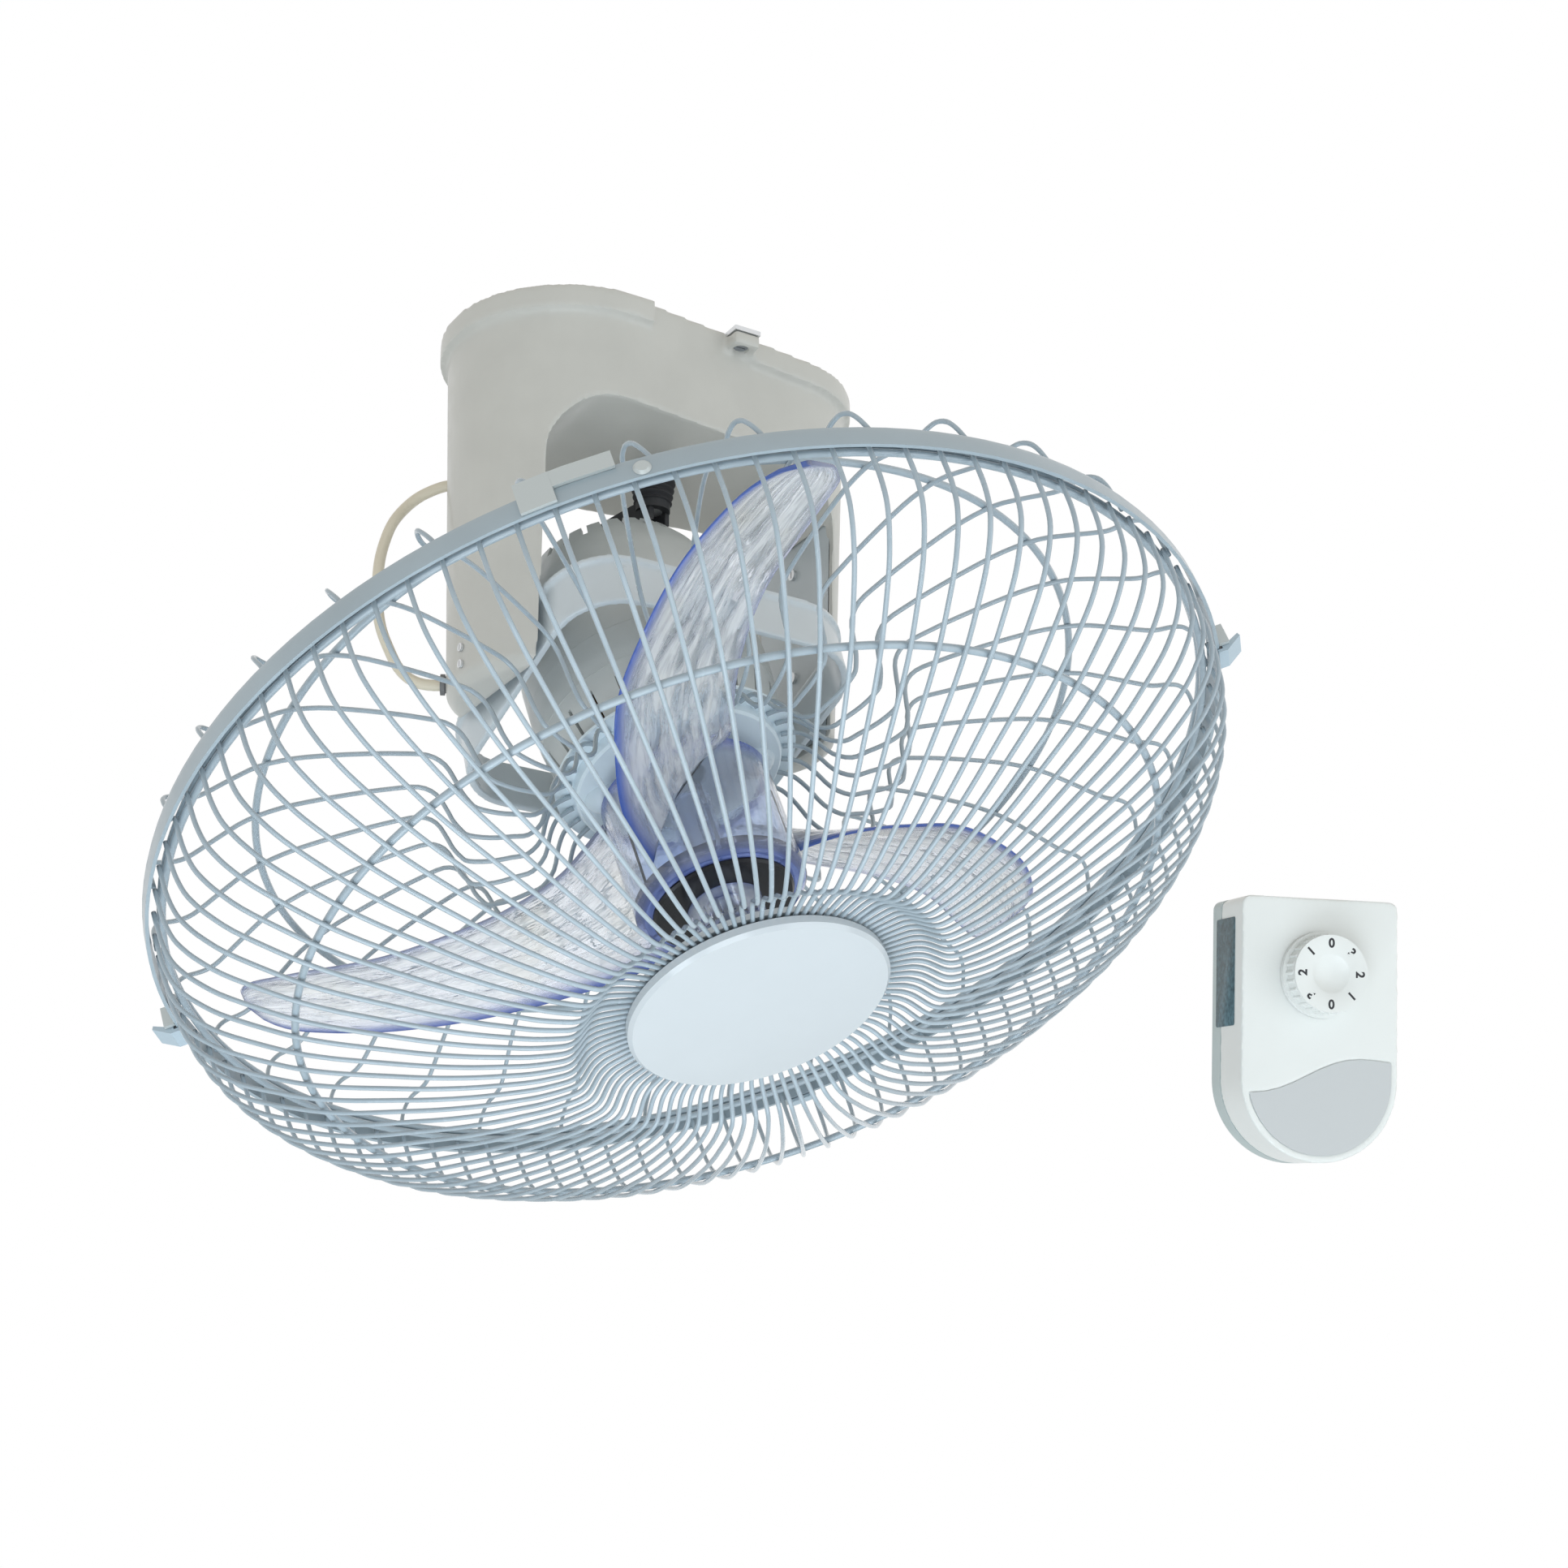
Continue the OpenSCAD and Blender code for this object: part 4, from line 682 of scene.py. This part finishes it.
@dataclass
class Blades:
    """Three clear blades, each a closed shell with round edges and a round tip."""

    count: int = 3
    first: float = 256.0
    thickness: float = 2.4
    camber: float = 5.0
    tip_round: float = 0.45
    radius: tuple[float, ...] = (34.85, 57, 83, 109, 136, 165, 194)
    lead_angle: tuple[float, ...] = (7.7, -0.3, -4.6, -5, -3.6, -0.2, 2.4)
    lead_forward: tuple[float, ...] = (56, 67, 69, 68, 67, 65.5, 64.5)
    trail_angle: tuple[float, ...] = (-63, -52, -41, -33, -24.5, -16.5, -7.5)
    trail_forward: tuple[float, ...] = (99, 94, 88, 82, 77.5, 72, 66.5)
    spans: int = 66
    chords: int = 22
    # Scales of the streak_coords, which lay the painted reflection streaks across and along each
    # blade.
    streak_across: float = 11.0
    streak_along: float = 0.9

    @staticmethod
    def along(values: tuple[float, ...], t: float) -> float:
        """The value at place t on a smooth curve through the listed values."""
        last = len(values) - 1
        i = min(int(t), last - 1)
        return between(values[max(i - 1, 0)], values[i], values[i + 1],
                       values[min(i + 2, last)], t - i)

    def point(self, t: float, v: float, lift: float) -> Vector:
        """A point of the blade.

        Args:
            t: place along the blade, 0 at the hub and 6 at the tip.
            v: place across it, 0 at the leading and 1 at the trailing edge.
            lift: distance above its middle surface, as a share of half the thickness.

        Returns:
            The point in head coordinates, in metres.
        """
        over = max(0.0, t - (6 - self.tip_round)) / self.tip_round
        narrow = math.sqrt(max(0.0, 1 - over * over)) * 0.94 + 0.06
        across = 0.5 + (v - 0.5) * narrow
        angle = math.radians(self.along(self.lead_angle, t) * (1 - across)
                             + self.along(self.trail_angle, t) * across)
        bow = self.camber * math.sin(math.pi * across) * (1 - t / 9)
        forward = (self.along(self.lead_forward, t) * (1 - across)
                   + self.along(self.trail_forward, t) * across - bow)
        half = (self.thickness * (0.75 - 0.2 * t / 6)
                * (0.35 + 0.65 * math.sin(math.pi * (0.06 + 0.88 * across))))
        r = self.along(self.radius, t)
        return Vector((r * math.cos(angle), r * math.sin(angle), -forward - lift * half)) * MM

    def section(self, t: float) -> tuple[list[Vector], list[float], list[float]]:
        """One closed section across the blade, with the share of blue painted edge glow and the
        streak place of each point.
        """
        points, shares, places = [], [], []
        steps = [(k / self.chords, -1.0) for k in range(self.chords + 1)]
        steps += [(1.0, -0.5), (1.0, 0.0), (1.0, 0.5)]
        steps += [(k / self.chords, 1.0) for k in range(self.chords, -1, -1)]
        steps += [(0.0, 0.5), (0.0, 0.0), (0.0, -0.5)]
        chord = (self.point(t, 1, 0) - self.point(t, 0, 0)).length / MM
        for v, lift in steps:
            soft = 0.004 * (1 - abs(lift)) * (1 if v > 0.5 else -1)
            points.append(self.point(t, v + soft, lift * (0.72 if v in (0.0, 1.0) else 1.0)))
            # Shares of the deep blue painted edge glow: wide at the trailing edge, narrow at the
            # leading edge and the tip.
            trail = 1.7 * math.exp(-(1 - v) * chord / (4.2 - 0.45 * t))
            lead = 0.5 * math.exp(-v * chord / 1.5)
            tip = 0.6 * math.exp(-(6 - t) * 29 / 2.0)
            shares.append(min(1.0, max(trail, lead, tip)))
            places.extend((v * self.streak_across, t * self.streak_along, 0.0))
        return points, shares, places

    def build(self) -> list[bpy.types.Object]:
        """Makes the blades as one piece."""
        shape, edge, streak_coords = Shape(), [], []
        for k in range(self.count):
            turn = Matrix.Rotation(math.radians(self.first + 360 * k / self.count), 3, "Z")
            rings = []
            for i in range(self.spans + 1):
                points, shares, places = self.section(6 * i / self.spans)
                rings.append([turn @ p for p in points])
                edge.extend(shares)
                streak_coords.extend(places)
            shape.loft(rings)
        blades = shape.build("clear_blades", BLADE_CLEAR.make(), HEAD.matrix(), edge, streak_coords)
        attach(blades, Body.ROTOR.value)
        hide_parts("blades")
        return [blades]


# ---------------------------------------------------------------- mounting unit


@dataclass
class CrankBoot:
    """The ribbed rubber boot round the crank shaft."""

    top: float = -46 * MM
    height: float = 15 * MM
    bore: float = 4.3 * MM
    top_radius: float = 9.2 * MM
    low_radius: float = 7.0 * MM
    ribs: int = 5
    rib_out: float = 1.1 * MM
    steps: int = 60

    def build(self) -> list[bpy.types.Object]:
        """Makes the boot with rounded ribs."""
        profile = [(self.bore, self.top - self.height), (self.bore, self.top)]
        for i in range(self.steps + 1):
            s = i / self.steps
            wave = math.cos(math.tau * self.ribs * s)
            out = self.rib_out * (0.25 + 0.75 * wave)
            r = self.top_radius + (self.low_radius - self.top_radius) * s + out
            profile.append((r, self.top - self.height * s))
        shape = Shape()
        shape.turned(profile)
        boot = shape.build("ribbed_boot", RUBBER.make())
        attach(boot, Body.MOUNT.value)
        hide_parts("crank_boot")
        return [boot]


@dataclass
class SupplyCable:
    """The cable that leaves the housing near the ceiling and enters the foot of a leg."""

    radius: float = 2.3 * MM
    route: tuple[Point, ...] = (
        (-73.7, 30.9, -58), (-78.1, 34.8, -58), (-82, 38.1, -59.2), (-87.4, 41.9, -62.5),
        (-92.6, 43.9, -68.1), (-97.9, 43.5, -76.3), (-101, 43.4, -84.9), (-103.6, 42, -95.2),
        (-105, 39.9, -105.9), (-105.2, 38.4, -116.6), (-103.6, 37.6, -127.3),
        (-99.5, 37.7, -136.2), (-96, 35.2, -144.6), (-92.1, 31.1, -150.3),
        (-86.6, 26.4, -153.1), (-78, 21.4, -153))

    def build(self) -> list[bpy.types.Object]:
        """Makes the cable as a curve of its real length."""
        points = smooth_path([tuple(c * MM for c in p) for p in self.route], 5)
        curve = bpy.data.curves.new("supply_cord", "CURVE")
        curve.dimensions = "3D"
        curve.bevel_depth = self.radius
        curve.bevel_resolution = 4
        curve.use_fill_caps = True
        spline = curve.splines.new("POLY")
        spline.points.add(len(points) - 1)
        for place, point in zip(spline.points, points):
            place.co = (*point, 1)
        spline.use_smooth = True
        curve.materials.append(CORD.make())
        cord = bpy.data.objects.new("supply_cord", curve)
        bpy.context.scene.collection.objects.link(cord)
        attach(cord, Body.MOUNT.value)
        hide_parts("supply_cable")
        return [cord]


# ---------------------------------------------------------------- regulator


@dataclass
class RegulatorTrim:
    """Numerals on the dial and the bare label on the regulator's side."""

    numerals: str = "03210321"
    numeral_radius: float = 13.2 * MM
    numeral_size: float = 5.6 * MM
    dial_height: float = 12.3 * MM
    dial_up: float = 24 * MM
    ink_depth: float = 0.04 * MM
    ink_spread: float = 0.2 * MM
    label_corner: float = 1.2 * MM
    corner_steps: int = 6
    label_low: Point = (-36.75 * MM, -9 * MM, 1 * MM)
    label_high: Point = (-36.45 * MM, 13 * MM, 49 * MM)

    def numeral(self, index: int, sign: str) -> bpy.types.Object:
        """One printed numeral, its head towards the dial's rim."""
        text = bpy.data.curves.new("numeral", "FONT")
        text.body = sign
        text.size = self.numeral_size
        text.extrude = self.ink_depth
        text.offset = self.ink_spread
        text.align_x = "CENTER"
        text.align_y = "CENTER"
        holder = bpy.data.objects.new("numeral", text)
        bpy.context.scene.collection.objects.link(holder)
        bpy.context.view_layer.update()
        mesh = bpy.data.meshes.new_from_object(holder)
        bpy.data.objects.remove(holder)
        turn = -math.tau * index / len(self.numerals)
        top = -REGULATOR.depth / 2 - self.dial_height
        local = (Matrix.Translation((0, top, self.dial_up))
                 @ Matrix.Rotation(math.radians(90), 4, "X") @ Matrix.Rotation(turn, 4, "Z")
                 @ Matrix.Translation((0, self.numeral_radius, 0)))
        mesh.transform(REGULATOR.matrix() @ local)
        mesh.materials.clear()
        mesh.materials.append(INK.make())
        made = bpy.data.objects.new(f"numeral_{index}_{sign}", mesh)
        bpy.context.scene.collection.objects.link(made)
        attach(made, Body.DIAL.value)
        return made

    def label(self) -> bpy.types.Object:
        """The dark label plate, left bare."""
        (x0, y0, z0), (x1, y1, z1) = self.label_low, self.label_high
        corner = self.label_corner
        ring = []
        for cy, cz, start in ((y1 - corner, z1 - corner, 0), (y0 + corner, z1 - corner, 90),
                              (y0 + corner, z0 + corner, 180), (y1 - corner, z0 + corner, 270)):
            for k in range(self.corner_steps + 1):
                a = math.radians(start + 90 * k / self.corner_steps)
                ring.append((cy + corner * math.cos(a), cz + corner * math.sin(a)))
        shape = Shape()
        shape.loft([[Vector((x, y, z)) for y, z in ring] for x in (x1, x0)])
        label = shape.build("bare_label", LABEL_DARK.make(), REGULATOR.matrix())
        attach(label, Body.MOUNT.value)
        return label

    def build(self) -> list[bpy.types.Object]:
        """Makes the numerals and the label."""
        made = [self.numeral(i, sign) for i, sign in enumerate(self.numerals)]
        return [*made, self.label()]


# ---------------------------------------------------------------- studio


@dataclass
class Studio:
    """Camera, soft lamps, pale surroundings and a floor."""

    camera_place: Point = (-0.530, -0.962, -0.617)
    azimuth: float = -31.7
    elevation: float = 21.4
    roll: float = -0.2
    lens: float = 67.1
    sensor: float = 36.0
    target: Point = (0.04, 0.0, -0.17)
    clip: Pair = (0.05, 30.0)
    floor_level: float = -1.15
    floor_half: float = 6.0
    low_light: Colour = (1.02, 1.16, 1.26)
    high_light: Colour = (0.60, 0.565, 0.51)
    light_turns: Pair = (-0.35, 0.45)
    lamps: tuple[tuple[str, Point, float, float, Colour], ...] = (
        ("below", (0.0, -0.82, 0.5), 0.9, 7.0, (0.84, 0.93, 1.0)),
        ("low_front", (-0.1, -0.5, 1.2), 0.9, 6.0, (0.86, 0.94, 1.0)),
        ("right", (1.4, -0.1, 0.7), 1.2, 5.0, (0.90, 0.96, 1.0)))

    def axes(self) -> tuple[Vector, Vector, Vector]:
        """The camera's right, up and forward directions."""
        a, e, r = (math.radians(x) for x in (self.azimuth, self.elevation, self.roll))
        ahead = Vector((-math.sin(a) * math.cos(e), math.cos(a) * math.cos(e), math.sin(e)))
        flat = Vector((math.cos(a), math.sin(a), 0))
        above = flat.cross(ahead)
        return (flat * math.cos(r) + above * math.sin(r),
                above * math.cos(r) - flat * math.sin(r), ahead)

    def camera(self) -> bpy.types.Object:
        """Makes the camera of the photograph's view."""
        right, up, ahead = self.axes()
        data = bpy.data.cameras.new("camera")
        data.lens, data.sensor_width = self.lens, self.sensor
        data.clip_start, data.clip_end = self.clip
        made = bpy.data.objects.new("camera", data)
        turn = Matrix((right, up, -ahead)).transposed().to_4x4()
        made.matrix_world = Matrix.Translation(self.camera_place) @ turn
        bpy.context.scene.collection.objects.link(made)
        bpy.context.scene.camera = made
        return made

    def lamp(self, name: str, offset: Point, size: float, power: float,
             colour: Colour) -> bpy.types.Object:
        """One soft square lamp that faces the fan.

        Args:
            name: the lamp's name.
            offset: from the target along the camera's right, up and towards the camera.
            size: side of the lamp, in metres.
            power: watts.
            colour: of the light.

        Returns:
            The lamp.
        """
        right, up, ahead = self.axes()
        data = bpy.data.lights.new(name, "AREA")
        data.shape, data.size, data.energy, data.color = "SQUARE", size, power, colour
        made = bpy.data.objects.new(name, data)
        place = Vector(self.target) + right * offset[0] + up * offset[1] - ahead * offset[2]
        made.location = place
        made.rotation_mode = "QUATERNION"
        made.rotation_quaternion = (Vector(self.target) - place).to_track_quat("-Z", "Y")
        bpy.context.scene.collection.objects.link(made)
        return made

    @staticmethod
    def seen(tree: bpy.types.NodeTree) -> bpy.types.NodeSocket:
        """1 for rays from the camera, a reflection or through glass, else 0."""
        path = tree.nodes.new("ShaderNodeLightPath")
        total = path.outputs["Is Camera Ray"]
        for name in ("Is Glossy Ray", "Is Transmission Ray"):
            add = tree.nodes.new("ShaderNodeMath")
            add.operation, add.use_clamp = "ADD", True
            tree.links.new(total, add.inputs[0])
            tree.links.new(path.outputs[name], add.inputs[1])
            total = add.outputs[0]
        return total

    def surroundings(self) -> bpy.types.World:
        """A world that is white where it is seen, and lights the fan warm above, cool below."""
        world = bpy.data.worlds.new("pale_room")
        world.use_nodes = True
        tree = world.node_tree
        shown = tree.nodes["Background"]
        shown.inputs["Color"].default_value = (1.0, 1.0, 1.0, 1)
        place = tree.nodes.new("ShaderNodeTexCoord")
        parts = tree.nodes.new("ShaderNodeSeparateXYZ")
        height = tree.nodes.new("ShaderNodeMapRange")
        height.inputs["From Min"].default_value = self.light_turns[0]
        height.inputs["From Max"].default_value = self.light_turns[1]
        blend = tree.nodes.new("ShaderNodeMix")
        blend.data_type = "RGBA"
        blend.inputs[6].default_value = (*self.low_light, 1)
        blend.inputs[7].default_value = (*self.high_light, 1)
        lit = tree.nodes.new("ShaderNodeBackground")
        choice = tree.nodes.new("ShaderNodeMixShader")
        tree.links.new(place.outputs["Generated"], parts.inputs["Vector"])
        tree.links.new(parts.outputs["Z"], height.inputs["Value"])
        tree.links.new(height.outputs["Result"], blend.inputs[0])
        tree.links.new(blend.outputs[2], lit.inputs["Color"])
        tree.links.new(self.seen(tree), choice.inputs["Fac"])
        tree.links.new(lit.outputs["Background"], choice.inputs[1])
        tree.links.new(shown.outputs["Background"], choice.inputs[2])
        tree.links.new(choice.outputs["Shader"], tree.nodes["World Output"].inputs["Surface"])
        bpy.context.scene.world = world
        return world

    def floor(self) -> bpy.types.Object:
        """A pale floor far below the fan, which keeps its shadow."""
        half = self.floor_half
        shape = Shape([Vector((x * half, y * half, self.floor_level))
                       for x, y in ((-1, -1), (1, -1), (1, 1), (-1, 1))], [(0, 1, 2, 3)])
        paint = Finish("pale_floor", (0.80, 0.85, 0.89), 0.7, mottle=0.01, mottle_scale=2.0,
                       grain_scale=200.0).make()
        made = shape.build("floor", paint)
        return made

    def build(self) -> None:
        """Sets the camera, the lamps, the world and the floor."""
        self.camera()
        for settings in self.lamps:
            self.lamp(*settings)
        self.surroundings()
        self.floor()
        bpy.context.scene.view_settings.view_transform = "Standard"


# ---------------------------------------------------------------- order of work


def dress_nodes() -> None:
    """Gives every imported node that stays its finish."""
    for finish, nodes in NODE_FINISHES.items():
        material = finish.make()
        for node in nodes:
            dress(node, material)


MOULDINGS = (
    Moulding("housing", Body.MOUNT, HOUSING_IVORY, "housing_white", Edges.ROUND),
    Moulding("leg_plate_left", Body.MOUNT, INNER_WHITE, "inner_white"),
    Moulding("leg_plate_right", Body.MOUNT, INNER_WHITE, "inner_white"),
    Moulding("frame", Body.GIMBAL, FRAME_ENAMEL, "frame_white", Edges.SOFT),
    Moulding("motor_rear_cover", Body.HEAD, MOTOR_ENAMEL, "motor_white"),
    Moulding("motor_front_cover", Body.HEAD, MOTOR_ENAMEL, "motor_white"),
    Moulding("guard_collar", Body.HEAD, COLLAR_BLUE, "collar_blue"),
    Moulding("collar_knobs", Body.HEAD, KNOB_BLUE, "collar_blue"),
    Moulding("rim_band", Body.HEAD, BAND_PAINT, "cage_grey"),
    Moulding("rim_hinge_plate", Body.HEAD, CLIP_GREY, "clip_grey"),
    Moulding("badge", Body.HEAD, BADGE_WHITE, "badge_white"),
    Moulding("spinner_disc", Body.ROTOR, DISC_BLACK, "disc_black"),
    Moulding("blade_hub", Body.ROTOR, HUB_CLEAR, "blade_blue"),
    Moulding("spinner_nut", Body.ROTOR, NUT_CLEAR, "blade_blue"),
    Moulding("latch_left", Body.LEVER_LEFT, LEVER_BLUE, "lever_blue"),
    Moulding("latch_right", Body.LEVER_RIGHT, LEVER_BLUE, "lever_blue"),
    Moulding("latch_back", Body.LEVER_BACK, LEVER_BLUE, "lever_blue"),
    Moulding("reg_cover", Body.MOUNT, REG_WHITE, "reg_white", Edges.SOFT),
    Moulding("reg_back", Body.MOUNT, REG_GREY, "reg_grey"),
    Moulding("reg_dial", Body.DIAL, REG_WHITE, "reg_white"),
)


def main() -> None:
    """Builds the studio and every sub-assembly in order."""
    logging.basicConfig(level=logging.INFO, format="%(name)s: %(message)s")
    Studio().build()
    makers = (SupplyCable(), CrankBoot(), *MOULDINGS, Cage(), Blades(), RegulatorTrim())
    for maker in makers:
        for piece in maker.build():
            LOG.info("%s made %s", type(maker).__name__, piece.name)
    dress_nodes()


if __name__ == "__main__":
    main()
